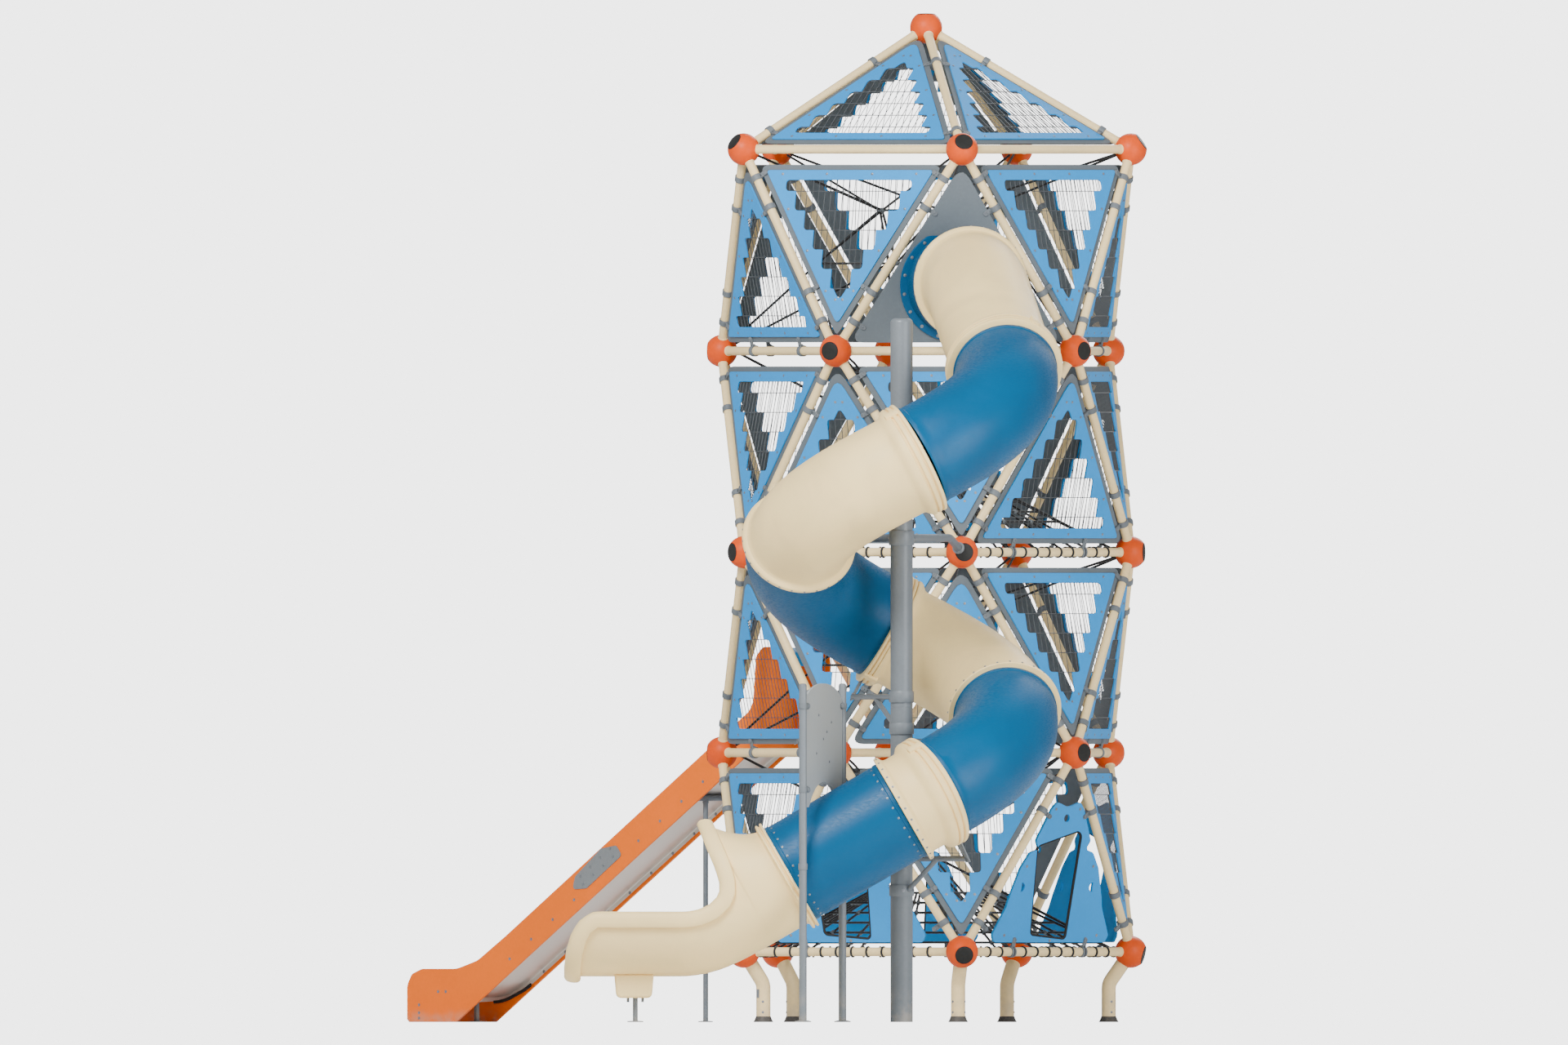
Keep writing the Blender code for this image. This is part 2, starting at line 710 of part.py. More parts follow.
def mast_arm(key):
    """From the mast, level, then down to a hub: onto its cap or onto a flat of the arm's own."""
    knee = arm_knee(key)
    centre = hub_place(key)
    way = Vector((knee.x, knee.y, 0)).normalized()
    start = way * (mast_reach(way) + GAP) + UP * ARM_HEIGHT
    back = (knee - centre).normalized()
    seat = TUBE_SEAT + GAP
    if key == ARM_HUBS["front"]:
        lean = back.angle(cap_direction(key))
        seat = (CAP_FLAT + GAP + ARM_RADIUS * math.sin(lean)) / math.cos(lean)
    return pipe([start, knee, centre + back * seat], ARM_RADIUS, 3), way


def build_mast_arms(group, cutters, finishes):
    """Both arms leave the mast from one plate."""
    front, front_way = mast_arm(ARM_HUBS["front"])
    left, left_way = mast_arm(ARM_HUBS["left"])
    node = new_node(group, "mast_arms", front, finishes["steel"])
    combine(node, cutters, "mast_arm_left", left, finishes["steel"], "UNION")
    middle = (front_way + left_way).normalized()
    pad = bmesh.new()
    spot = middle * (mast_reach(middle) + GAP) + UP * ARM_HEIGHT
    add_box(pad, (-0.06, 0, -0.055), (0.06, 0.014, 0.055), place(spot, frame_along(UP, middle)))
    combine(node, cutters, "mast_arm_pad", pad, finishes["steel"], "UNION")


def build_flange_brackets(group, cutters, finishes):
    """Two brackets carry the slide from the mast, each bolted under a pair of flanges."""
    ends = {name: (points[-1], last) for name, colour, points, first, last in sections()}
    for number, name in enumerate(["tube_bend_3", "tube_bend_5"], start=1):
        centre, way = ends[name]
        down = (way.cross(UP)).cross(way).normalized()
        if down.z > 0:
            down = -down
        face = centre + way * (FLANGE_THICKNESS + STEP + 1.5 * GAP)
        plate = bmesh.new()
        across = way.cross(down)
        matrix = place(face, Matrix((across, down, way)).transposed())
        if matrix.to_3x3().determinant() < 0:
            matrix = place(face, Matrix((-across, down, way)).transposed())
        add_box(plate, (-0.06, BARREL_RADIUS + 0.008, 0), (0.06, 0.60, 0.010), matrix)
        node = new_node(group, f"flange_bracket_{number}", plate, finishes["steel"])
        seat = face + down * 0.57 + way * 0.005
        level = Vector((seat.x, seat.y, 0)).normalized()
        reach = mast_reach(level) + GAP
        top = level * reach + UP * seat.z
        foot = top - UP * BRACKET_DROP
        bars = bmesh.new()
        add_bar(bars, top + level * 0.004, seat, BRACKET_RADIUS)
        combine(node, cutters, f"bracket_arm_{number}", bars, finishes["steel"], "UNION")
        brace = bmesh.new()
        add_bar(brace, foot + level * 0.015, top.lerp(seat, 0.5), BRACKET_RADIUS * 0.9)
        combine(node, cutters, f"bracket_brace_{number}", brace, finishes["steel"], "UNION")
        pads = bmesh.new()
        turned = frame_along(UP, level)
        for spot in (top, foot):
            add_box(pads, (-0.045, 0, -0.05), (0.045, 0.010, 0.05), place(spot, turned))
        combine(node, cutters, f"bracket_pads_{number}", pads, finishes["steel"], "UNION")


# Straight slide

def slide_matrix():
    """X along the slide's plan direction, Y up, Z across it."""
    way = heading(SLIDE_TURN)
    return place(TOWER_CENTRE, Matrix((way, UP, way.cross(UP))).transposed())


def board_low(reach):
    """The lower edge of a side board."""
    return min(SLIDE_DECK, 0.8128 + SLIDE_GRADE * (3.4817 - reach))


BOARD_OUTLINE = [(4.713, 0.0), (5.204, 0.0), (5.227, 0.02), (5.227, 0.28), (5.178, 0.363), (5.075, 0.402),
                 (4.708, 0.402), (4.49, 0.465), (4.194, 0.650), (1.64, 2.346), (1.60, 2.42), (1.57, 2.76),
                 (1.50, 2.83), (1.28, 2.83), (1.22, 2.77), (1.18, SLIDE_DECK), (1.583, SLIDE_DECK)]


def bed_line():
    """The middle of the bed: a level sill, the slope and a level run-out."""
    rise = 0.072
    sill = SLIDE_DECK + rise
    return [(1.18, sill), (1.56, sill), (1.66, board_low(1.66) + rise), (4.40, board_low(4.40) + rise),
            (4.52, 0.222), (4.70, 0.190), (5.15, 0.180)]


def ribbon(line, thickness):
    """A strip of even upright thickness along a line."""
    upper = [(s, z + thickness / 2) for s, z in line]
    lower = [(s, z - thickness / 2) for s, z in reversed(line)]
    return upper + lower


def build_straight_slide(group, cutters, finishes):
    matrix = slide_matrix()
    half = BOARD_THICKNESS / 2
    for name, side in (("slide_board_near", -1), ("slide_board_far", 1)):
        board = bmesh.new()
        middle = side * SLIDE_HALF_WIDTH
        add_plate(board, [BOARD_OUTLINE], middle - half, middle + half, matrix)
        new_node(group, name, board, finishes["slide_orange"])
    inner = SLIDE_HALF_WIDTH - half - GAP
    bed = bmesh.new()
    add_plate(bed, [ribbon(bed_line(), BED_THICKNESS)], -inner, inner, matrix)
    new_node(group, "slide_bed", bed, finishes["pale"])
    hood = bmesh.new()
    roof = [(1.24, 2.70), (1.32, 2.80), (1.50, 2.80), (1.56, 2.72)]
    add_plate(hood, [ribbon(roof, 0.02)], -inner, inner, matrix)
    new_node(group, "slide_hood", hood, finishes["blue"])
    bar_height = board_low(SLIDE_POLE_REACH) + 0.072 - 0.034
    rest = bmesh.new()
    add_bar(rest, matrix @ Vector((SLIDE_POLE_REACH, bar_height, -inner)),
            matrix @ Vector((SLIDE_POLE_REACH, bar_height, inner)), 0.0235)
    node = new_node(group, "slide_support", rest, finishes["steel"])
    pole = bmesh.new()
    add_bar(pole, matrix @ Vector((SLIDE_POLE_REACH, 0, SLIDE_POLE_OFFSET)),
            matrix @ Vector((SLIDE_POLE_REACH, bar_height, SLIDE_POLE_OFFSET)), 0.0195)
    combine(node, cutters, "slide_support_pole", pole, finishes["steel"], "UNION")
    post = bmesh.new()
    add_bar(post, matrix @ Vector((SLIDE_EXIT_POST_REACH, 0, 0)),
            matrix @ Vector((SLIDE_EXIT_POST_REACH, 0.1855, 0)), 0.020)
    new_node(group, "slide_exit_post", post, finishes["steel"])


# Gantry

def build_gantry(group, cutters, finishes):
    """Posts in front of the straight tube and behind it, each with a spacer to the tube's side, and
    the board that they hold between them."""
    across = GANTRY_SPREAD.normalized()
    start, end = [points for name, colour, points, first, last in sections() if name == "tube_straight"][0]
    for name, side in (("gantry_post_front", -1), ("gantry_post_back", 1)):
        foot = GANTRY_CENTRE + GANTRY_SPREAD * side
        post = bmesh.new()
        add_bar(post, foot, foot + UP * GANTRY_TOP, GANTRY_POST_RADIUS, sides=10, towards=across)
        node = new_node(group, name, post, finishes["steel"])
        axis = start.lerp(end, (foot.x - start.x) / (end.x - start.x))
        spacer = bmesh.new()
        seat = axis + Vector((0, side * (BARREL_RADIUS + GAP), 0))
        add_bar(spacer, Vector((foot.x, foot.y, axis.z)), seat, GANTRY_SPACER_RADIUS)
        combine(node, cutters, name + "_spacer", spacer, finishes["steel"], "UNION")
    half = GANTRY_SPREAD.length - GANTRY_POST_RADIUS - GAP
    middle = ARCH_TOP - ARCH_RADIUS
    spring = math.degrees(math.asin((GANTRY_BOARD_LOW - middle) / ARCH_RADIUS))
    crown = [(half * u, GANTRY_TOP - GANTRY_BOARD_RISE * (1 - v)) for u, v in arc((0, 0), 1.0, 0, 180, 14)]
    arch = arc((0, middle), ARCH_RADIUS, 180 - spring, spring, 12)
    outline = [(half, GANTRY_BOARD_LOW)] + crown + [(-half, GANTRY_BOARD_LOW)] + arch
    matrix = place(GANTRY_CENTRE, Matrix((across, UP, across.cross(UP))).transposed())
    board = bmesh.new()
    add_plate(board, [outline], -GANTRY_BOARD_THICKNESS / 2, GANTRY_BOARD_THICKNESS / 2, matrix)
    new_node(group, "gantry_board", board, finishes["board_grey"])


def main():
    clear_scene()
    group = collection("playground_tower")
    cutters = collection("cutters")
    finishes = {
        "blue": finish("panel_blue", BLUE, 0.45),
        "deep_blue": finish("tube_blue", DEEP_BLUE, 0.32),
        "beige": finish("beige_coat", BEIGE, 0.40),
        "orange": finish("hub_orange", ORANGE, 0.42),
        "slide_orange": finish("slide_orange", SLIDE_ORANGE, 0.45),
        "steel": finish("grey_steel", STEEL, 0.38, 0.4),
        "pale": finish("slide_bed_steel", PALE_STEEL, 0.30, 0.8),
        "board_grey": finish("board_grey", BOARD_GREY, 0.45),
    }
    build_frame(group, cutters, finishes)
    build_legs(group, finishes)
    build_panels(group, cutters, finishes)
    build_tube_entry(group, cutters, finishes)
    build_tube_slide(group, cutters, finishes)
    chute = [points for name, colour, points, first, last in sections() if name == "exit_chute"][0]
    support_block(group, cutters, finishes, chute)
    build_mast(group, finishes)
    build_mast_arms(group, cutters, finishes)
    build_flange_brackets(group, cutters, finishes)
    build_straight_slide(group, cutters, finishes)
    build_gantry(group, cutters, finishes)


main()
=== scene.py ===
"""The looks of the playground tower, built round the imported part. Metres, +Z up."""
import math

import bmesh
import bpy
import numpy as np
from mathutils import Matrix, Vector


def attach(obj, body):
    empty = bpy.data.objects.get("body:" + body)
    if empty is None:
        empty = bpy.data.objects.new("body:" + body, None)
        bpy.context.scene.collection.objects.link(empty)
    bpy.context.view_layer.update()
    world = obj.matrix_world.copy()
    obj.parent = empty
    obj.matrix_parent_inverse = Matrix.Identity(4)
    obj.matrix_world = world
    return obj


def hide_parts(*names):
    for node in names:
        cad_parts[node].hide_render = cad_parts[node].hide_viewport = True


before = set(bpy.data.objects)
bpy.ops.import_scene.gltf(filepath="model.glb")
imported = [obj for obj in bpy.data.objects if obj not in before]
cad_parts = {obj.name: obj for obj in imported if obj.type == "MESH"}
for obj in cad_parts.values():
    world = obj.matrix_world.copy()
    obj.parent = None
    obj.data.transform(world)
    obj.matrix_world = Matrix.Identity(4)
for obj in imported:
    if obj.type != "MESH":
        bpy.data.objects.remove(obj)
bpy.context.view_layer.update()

UP = Vector((0, 0, 1))
ROOT = "root"

# The tower's frame, as in the part's source
TOWER_CENTRE = Vector((0.185, 3.50, 0.0))
SIDES = 5
RING_RADIUS = 1.558
RING_HEIGHTS = {1: 0.530, 2: 2.032, 3: 3.544, 4: 5.062, 5: 6.583}
APEX_HEIGHT = 7.502
FRONT_TURN = 10.0
HUB_RADIUS = 0.1216
CAP_FLAT = 0.099
CAP_TILT = {1: -15.0, 2: 0.0, 3: 0.0, 4: 0.0, 5: 35.0}
TUBE_RADIUS = 0.0335
LEG_RADIUS = 0.054
LEG_FOOT_REACH = 1.39
LEG_KNEE_HEIGHT = 0.29

# Panels: heights over a face's plane, and insets from the tubes' centrelines
GREY_BACK = -0.006
SHEET_JOINT = 0.007
BLUE_FRONT = 0.020
GREY_INSETS = {"up": (0.067, 0.058), "down": (0.120, 0.058)}
BLUE_INSETS = {"up": (0.111, 0.102), "down": (0.163, 0.102)}
OPENING_SIDE_INSET = 0.170
OPENING_BASES = {"up": 0.1855, "down": 0.2385}
FIRST_ROW = 0.086
WIRE_PITCH = 0.150
WIRE_SPACING = 0.050
OPENING_ROWS = 6
TIP_WIDTH = 0.11
TIP_HEIGHT = 0.095

# Tube slide
HELIX_RADIUS = 0.79
BARREL_RADIUS = 0.390
FLANGE_RADIUS = 0.444
WALL = 0.012
HELIX_SLOPE = 27.5
EXIT_SLOPE = 30.0
ENTRY_HEIGHT = 5.57
ENTRY_FLAT_TOP = 5.932
ENTRY_LENGTH = 0.555
ELBOW_LENGTH = 1.50
STRAIGHT_LENGTH = 0.84
CHUTE_LENGTH = 1.60
QUARTER = HELIX_RADIUS * math.pi / 2

# Mast and its arms
MAST_RADIUS = 0.084
MAST_HEIGHT = 5.308
MAST_ROUNDING = 0.032
ARM_RADIUS = 0.030
ARM_HEIGHT = 3.651
ARM_HUBS = {"front": (3, 0), "left": (3, 4)}

# Straight slide
SLIDE_TURN = -134.0
SLIDE_HALF_WIDTH = 0.2135
BOARD_THICKNESS = 0.019
SLIDE_GRADE = 0.66
SLIDE_DECK = 2.0658
SLIDE_POLE_REACH = 2.21
SLIDE_POLE_OFFSET = -0.105
SLIDE_EXIT_POST_REACH = 4.71

# Gantry astride the straight tube
GANTRY_CENTRE = Vector((-0.595, -0.79, 0.0))
GANTRY_SPREAD = Vector((0.149, 0.49, 0.0))      # from its centre to its back post
GANTRY_RADIUS = 0.029
GANTRY_TOP = 2.555
GANTRY_BOARD_LOW = 1.62
GANTRY_BOARD_RISE = 0.17
ARCH_RADIUS = 0.47
ARCH_TOP = 1.808


# Shader values

MIX_FACTOR, MIX_FIRST, MIX_SECOND, MIX_RESULT = 0, 6, 7, 2      # a Mix node's colour sockets


class Field:
    """A shader value; the usual signs on it add the Math nodes that work them out."""

    def __init__(self, finish, socket):
        self.finish = finish
        self.socket = socket

    def math(self, operation, first, second):
        return self.finish.node("ShaderNodeMath", {"operation": operation}, {0: first, 1: second})

    def __add__(self, other):
        return self.math("ADD", self, other)

    def __mul__(self, other):
        return self.math("MULTIPLY", self, other)

    __radd__ = __add__
    __rmul__ = __mul__

    def between(self, low, high, start=0.0, end=1.0):
        """Maps low..high smoothly onto start..end."""
        values = {"Value": self, "From Min": low, "From Max": high, "To Min": start, "To Max": end}
        return self.finish.node("ShaderNodeMapRange", {"interpolation_type": "SMOOTHSTEP"}, values)

    def tint(self, first, second):
        """The first colour at 0 and the second at 1."""
        values = {MIX_FACTOR: self, MIX_FIRST: first, MIX_SECOND: second}
        return self.finish.node("ShaderNodeMix", {"data_type": "RGBA"}, values, MIX_RESULT)


class Finish:
    """A material being made, with its shader and its object coordinates."""

    def __init__(self, name, roughness, metallic=0.0, coat=0.0):
        self.material = bpy.data.materials.new(name)
        self.material.use_nodes = True
        self.tree = self.material.node_tree
        self.shader = self.tree.nodes["Principled BSDF"]
        self.fill(self.shader, {"Roughness": roughness, "Metallic": metallic, "Coat Weight": coat,
                                "Specular IOR Level": 0.2})
        self.place = self.node("ShaderNodeTexCoord", {}, {}, "Object")

    def fill(self, node, values):
        """Links a node's sockets or sets them."""
        for name, value in values.items():
            socket = node.inputs[name]
            if isinstance(value, Field):
                self.tree.links.new(value.socket, socket)
            else:
                socket.default_value = (*value, 1.0) if socket.type == "RGBA" else value

    def node(self, kind, settings, values, output=0):
        """Adds a node: its settings first, then the values or links of its sockets."""
        node = self.tree.nodes.new(kind)
        for name, setting in settings.items():
            setattr(node, name, setting)
        self.fill(node, values)
        return Field(self, node.outputs[output])

    def noise(self, scale, detail=3.0, stretch=None, distortion=0.0):
        place = self.place
        if stretch:
            place = self.node("ShaderNodeMapping", {}, {"Vector": place, "Scale": stretch})
        values = {"Vector": place, "Scale": scale, "Detail": detail, "Distortion": distortion}
        return self.node("ShaderNodeTexNoise", {}, values)

    def height(self):
        return self.node("ShaderNodeSeparateXYZ", {}, {0: self.place}, "Z")

    def bump(self, field, distance, strength):
        values = {"Height": field, "Distance": distance, "Strength": strength}
        self.fill(self.shader, {"Normal": self.node("ShaderNodeBump", {}, values)})


def scaled(colour, factor):
    return tuple(min(1.0, channel * factor) for channel in colour)


DUST = (0.42, 0.37, 0.30)


def coating(name, colour, roughness, metallic=0.0, coat=0.0, spread=0.05, grain=320.0, depth=0.0004,
            foot=0.0):
    """A coat or sheet: broad mottling, a fine grain, and dust near the ground where foot is set."""
    finish = Finish(name, roughness, metallic, coat)
    mottle = 0.65 * finish.noise(2.1, 4.0) + 0.35 * finish.noise(46.0)
    tint = mottle.between(0.36, 0.64).tint(scaled(colour, 1 - spread), scaled(colour, 1 + spread))
    if foot:
        dust = finish.height().between(0.0, foot, 0.45, 0.0) * finish.noise(9.0, 4.0).between(0.35, 0.65)
        tint = dust.tint(tint, DUST)
    roughness = mottle.between(0.3, 0.7, roughness - 0.06, roughness + 0.07)
    finish.fill(finish.shader, {"Base Color": tint, "Roughness": roughness})
    finish.bump(finish.noise(grain, 2.0), depth, 0.5)
    return finish.material


def moulded(name, colour, roughness):
    """Rotationally moulded plastic: a soft orange peel, faint flow clouds and fine scuffs."""
    finish = Finish(name, roughness)
    specks = finish.noise(210.0, 2.0)
    mottle = 0.8 * finish.noise(1.4, 5.0, distortion=0.6) + 0.2 * specks
    tint = mottle.between(0.38, 0.62).tint(scaled(colour, 0.93), scaled(colour, 1.05))
    scuffs = finish.noise(34.0, 5.0, (1, 1, 3.5)).between(0.35, 0.7, roughness - 0.05, roughness + 0.10)
    finish.fill(finish.shader, {"Base Color": tint, "Roughness": scuffs})
    finish.bump(0.7 * finish.noise(55.0, 2.0) + 0.3 * specks, 0.0012, 0.35)
    return finish.material


def brushed(name, colour, roughness, stretch):
    """Brushed steel, its lines along the axis that is least stretched."""
    finish = Finish(name, roughness, metallic=0.85)
    lines = finish.noise(60.0, 4.0, stretch)
    tint = (0.5 * lines + 0.5 * finish.noise(2.5)).between(0.35, 0.65).tint(scaled(colour, 0.93), colour)
    roughness = lines.between(0.3, 0.7, roughness - 0.08, roughness + 0.10)
    finish.fill(finish.shader, {"Base Color": tint, "Roughness": roughness})
    finish.bump(lines, 0.0004, 0.4)
    return finish.material


def rope_finish(name, colour):
    """Braided rope: small raised strands and a dull fibre sheen."""
    finish = Finish(name, 0.82)
    strands = finish.noise(150.0, 2.0, (1, 1, 0.4))
    tint = strands.between(0.35, 0.65).tint(scaled(colour, 0.6), scaled(colour, 1.5))
    finish.fill(finish.shader, {"Base Color": tint, "Sheen Weight": 0.35})
    finish.bump(strands, 0.003, 0.8)
    return finish.material


FINISHES = {
    "beige": coating("frame_beige_coat", (0.90, 0.69, 0.35), 0.42, coat=0.04, foot=0.35),
    "orange": coating("hub_orange_coat", (0.74, 0.078, 0.004), 0.44, grain=240.0, depth=0.0006),
    "black": coating("cap_black_plastic", (0.019, 0.019, 0.018), 0.50, spread=0.15),
    "panel_blue": coating("panel_blue_sheet", (0.014, 0.275, 0.68), 0.55, spread=0.035, grain=420.0,
                          depth=0.0007),
    "panel_grey": coating("panel_grey_sheet", (0.118, 0.142, 0.160), 0.58, grain=420.0, depth=0.0007),
    "wire": coating("mesh_wire_zinc", (0.090, 0.100, 0.108), 0.50, metallic=0.2, spread=0.12, grain=900.0),
    "clamp": coating("clamp_grey_cast", (0.150, 0.170, 0.186), 0.50, metallic=0.1, spread=0.10, depth=0.0008),
    "bolt": coating("bolt_zinc", (0.24, 0.26, 0.28), 0.40, metallic=0.6, spread=0.12, grain=700.0),
    "tube_blue": moulded("tube_blue_moulded", (0.0006, 0.078, 0.190), 0.42),
    "tube_beige": moulded("tube_beige_moulded", (0.94, 0.71, 0.33), 0.42),
    "steel": coating("steel_grey_coat", (0.165, 0.186, 0.203), 0.45, metallic=0.1, coat=0.1, foot=0.30),
    "foot": coating("foot_flange_cast", (0.085, 0.080, 0.074), 0.55, metallic=0.2, spread=0.15, depth=0.0010),
    "slide_orange": coating("slide_orange_sheet", (0.95, 0.168, 0.002), 0.50, spread=0.035, grain=380.0,
                            depth=0.0007, foot=0.12),
    "bed": brushed("slide_bed_steel", (0.70, 0.66, 0.60), 0.36, (1.6, 1.6, 24.0)),
    "splice": coating("splice_plate_sheet", (0.200, 0.216, 0.225), 0.52, depth=0.0007),
    "board": coating("board_grey_sheet", (0.320, 0.345, 0.352), 0.50, spread=0.03, depth=0.0006),
    "rope": rope_finish("rope_black", (0.016, 0.017, 0.018)),
    # Black for the rubber rims of the climbing hole, and for the painted shade strip under the slide bed's lower
    # bend.
    "rubber_and_shade": coating("black_rubber_and_painted_shade", (0.022, 0.022, 0.022), 0.70, spread=0.15, depth=0.0010),
}


# Shapes

CARRIER = bpy.data.meshes.new("carrier")        # takes each solid over into its shape


class Shape:
    """A bmesh gathered from solids, which are bmeshes themselves."""

    def __init__(self):
        self.bm = bmesh.new()

    def add(self, solid, matrix=Matrix.Identity(4)):
        """Adds a copy of a solid, moved by a matrix."""
        copy = solid.copy()
        bmesh.ops.transform(copy, matrix=matrix, verts=copy.verts)
        if matrix.is_negative:
            bmesh.ops.reverse_faces(copy, faces=copy.faces)
        copy.to_mesh(CARRIER)
        copy.free()
        self.bm.from_mesh(CARRIER)


def make(name, shape, finish, slot, replaces=(), angle=35.0):
    """Turns a shape into a piece that rides on the tower and stands for CAD nodes."""
    mesh = bpy.data.meshes.new(name)
    shape.bm.to_mesh(mesh)
    mesh.materials.append(FINISHES[finish])
    mesh.shade_smooth()
    mesh.set_sharp_from_angle(angle=math.radians(angle))
    piece = bpy.data.objects.new(name, mesh)
    bpy.context.scene.collection.objects.link(piece)
    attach(piece, ROOT)
    if replaces:
        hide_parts(*replaces)


MERGE = 1e-6            # points of a turned shape that are nearer than this are one


def loft(rings, closed=False):
    """Skins rings of equal counts; a closed loft joins its last ring to its first, any other is capped."""
    rows = rings + rings[:1] if closed else rings
    size = len(rings[0])
    bm = bmesh.new()
    bmesh.ops.create_grid(bm, x_segments=size, y_segments=len(rows) - 1, size=1)
    verts = list(bm.verts)
    welds = {}
    for index, vert in enumerate(verts):
        row, column = divmod(index, size + 1)
        vert.co = rows[row][column % size]
        home = verts[row % len(rings) * (size + 1) + column % size]
        if home is not vert:
            welds[vert] = home
    bmesh.ops.weld_verts(bm, targetmap=welds)
    if not closed:
        bmesh.ops.holes_fill(bm, edges=bm.edges[:])
    bmesh.ops.recalc_face_normals(bm, faces=bm.faces[:])
    return bm


def lathe(profile, sides):
    """Turns a profile of (radius, height) about Z; a radius of 0 closes an end."""
    bm = bmesh.new()
    line = [bm.verts.new((radius, 0.0, height)) for radius, height in profile]
    edges = [bm.edges.new(pair) for pair in zip(line, line[1:])]
    bmesh.ops.spin(bm, geom=line + edges, axis=UP, angle=2 * math.pi, steps=sides, use_merge=True)
    bmesh.ops.remove_doubles(bm, verts=bm.verts[:], dist=MERGE)
    bmesh.ops.recalc_face_normals(bm, faces=bm.faces[:])
    return bm


def frame_along(axis, towards=UP):
    """A rotation whose Z runs along the axis and whose Y turns as near as it can to towards."""
    z = axis.normalized()
    guide = towards if abs(z.dot(towards)) < 0.99 else Vector((1, 0, 0))
    x = guide.cross(z).normalized()
    return Matrix((x, z.cross(x), z)).transposed()


def place(origin, rotation):
    return Matrix.Translation(origin) @ rotation.to_4x4()


def facing(side):
    """Leaves a solid as it is for a side over 0, and turns it over for the other side."""
    return Matrix.Identity(4) if side > 0 else Matrix.Rotation(math.pi, 4, "X")


def circle(point, direction, radius, sides, side):
    """A ring about a direction, and the side vector that keeps the next ring from twisting."""
    side = (side - direction * side.dot(direction)).normalized()
    up = direction.cross(side)
    ring = []
    for step in range(sides):
        angle = 2 * math.pi * step / sides
        ring.append(point + (side * math.cos(angle) + up * math.sin(angle)) * radius)
    return ring, side


def directions(points):
    found = []
    for index in range(len(points)):
        before = points[max(index - 1, 0)]
        after = points[min(index + 1, len(points) - 1)]
        found.append((after - before).normalized())
    return found


def pipe(points, radius, sides=20, lip=0.0):
    """A round bar along points, its ends rounded off by lip."""
    ways = directions(points)
    stations = [(point, way, radius) for point, way in zip(points, ways)]
    if lip:
        rounding = [(0.0, radius - lip), (lip * 0.3, radius - lip * 0.3), (lip, radius)]
        head = [(points[0] + ways[0] * along, ways[0], reach) for along, reach in rounding]
        tail = [(points[-1] - ways[-1] * along, ways[-1], reach) for along, reach in rounding[::-1]]
        stations = head + stations[1:-1] + tail
    side = stations[0][1].orthogonal()
    rings = []
    for point, way, reach in stations:
        ring, side = circle(point, way, reach, sides, side)
        rings.append(ring)
    return loft(rings)


def rounded_path(points, radius, steps=6):
    """A path whose inner corners turn on arcs of about a radius."""
    path = [points[0]]
    for before, corner, after in zip(points, points[1:], points[2:]):
        back = (before - corner).normalized()
        ahead = (after - corner).normalized()
        half = back.angle(ahead) / 2
        run = min(radius / math.tan(half), (before - corner).length * 0.45, (after - corner).length * 0.45)
        start, end = corner + back * run, corner + ahead * run
        for step in range(steps + 1):
            share = step / steps
            path.append(start.lerp(corner, share).lerp(corner.lerp(end, share), share))
    return path + [points[-1]]


def soften(outline, radius, steps=4):
    """Rounds the corners of a closed outline; radius is one number or one for each corner."""
    count = len(outline)
    found = []
    for index in range(count):
        corner = Vector(outline[index])
        before = Vector(outline[index - 1])
        after = Vector(outline[(index + 1) % count])
        reach = radius[index] if isinstance(radius, (list, tuple)) else radius
        back = before - corner
        ahead = after - corner
        half = back.angle(ahead) / 2
        if reach <= 0 or half > math.radians(87):
            found.append(tuple(corner))
            continue
        run = min(reach / math.tan(half), back.length * 0.48, ahead.length * 0.48)
        start, end = corner + back.normalized() * run, corner + ahead.normalized() * run
        for step in range(steps + 1):
            share = step / steps
            point = start.lerp(corner, share).lerp(corner.lerp(end, share), share)
            found.append((point.x, point.y))
    return found


def plate(outlines, low, high, bevel=0.0, resolution=1):
    """A flat plate between two heights; the outlines after the first are holes."""
    curve = bpy.data.curves.new("plate", "CURVE")
    curve.dimensions = "2D"
    curve.fill_mode = "BOTH"
    curve.extrude = (high - low) / 2 - bevel
    if bevel:
        curve.bevel_depth = bevel
        curve.bevel_resolution = resolution
        curve.offset = -bevel
    for outline in outlines:
        spline = curve.splines.new("POLY")
        spline.points.add(len(outline) - 1)
        spline.use_cyclic_u = True
        for index, (u, v) in enumerate(outline):
            spline.points[index].co = (u, v, 0.0, 1.0)
    obj = bpy.data.objects.new("plate", curve)
    bpy.context.scene.collection.objects.link(obj)
    bm = bmesh.new()
    bm.from_mesh(obj.to_mesh())
    bmesh.ops.translate(bm, vec=(0.0, 0.0, (high + low) / 2), verts=bm.verts[:])
    obj.to_mesh_clear()
    bpy.data.objects.remove(obj)
    bpy.data.curves.remove(curve)
    return bm


def block(low, high, bevel=0.003):
    """A box with bevelled upright edges and rims."""
    outline = [(low[0], low[1]), (high[0], low[1]), (high[0], high[1]), (low[0], high[1])]
    return plate([soften(outline, bevel * 2, 2)], low[2], high[2], bevel)


def button(radius, height, sides=12):
    """A bolt's domed head on a thin washer."""
    profile = [(1.45, 0.0), (1.45, 0.25), (1.0, 0.3), (0.95, 0.75), (0.6, 1.0), (0.0, 1.05)]
    return lathe([(radius * across, height * up) for across, up in profile], sides)


def hex_bolt(radius, height):
    """A hexagon head on a washer, with a chamfered top."""
    shape = Shape()
    washer = [(1.5, 0.0), (1.5, 0.2), (0.0, 0.2)]
    head = [(1.0, 0.2), (1.0, 0.9), (0.85, 1.0), (0.0, 1.0)]
    for sides, profile in ((14, washer), (6, head)):
        shape.add(lathe([(radius * across, height * up) for across, up in profile], sides))
    return shape.bm


# Places on the tower

def heading(turn):
    angle = math.radians(turn)
    return Vector((math.sin(angle), -math.cos(angle), 0.0))


def plan(turn, reach, height=0.0):
    return TOWER_CENTRE + heading(turn) * reach + UP * height


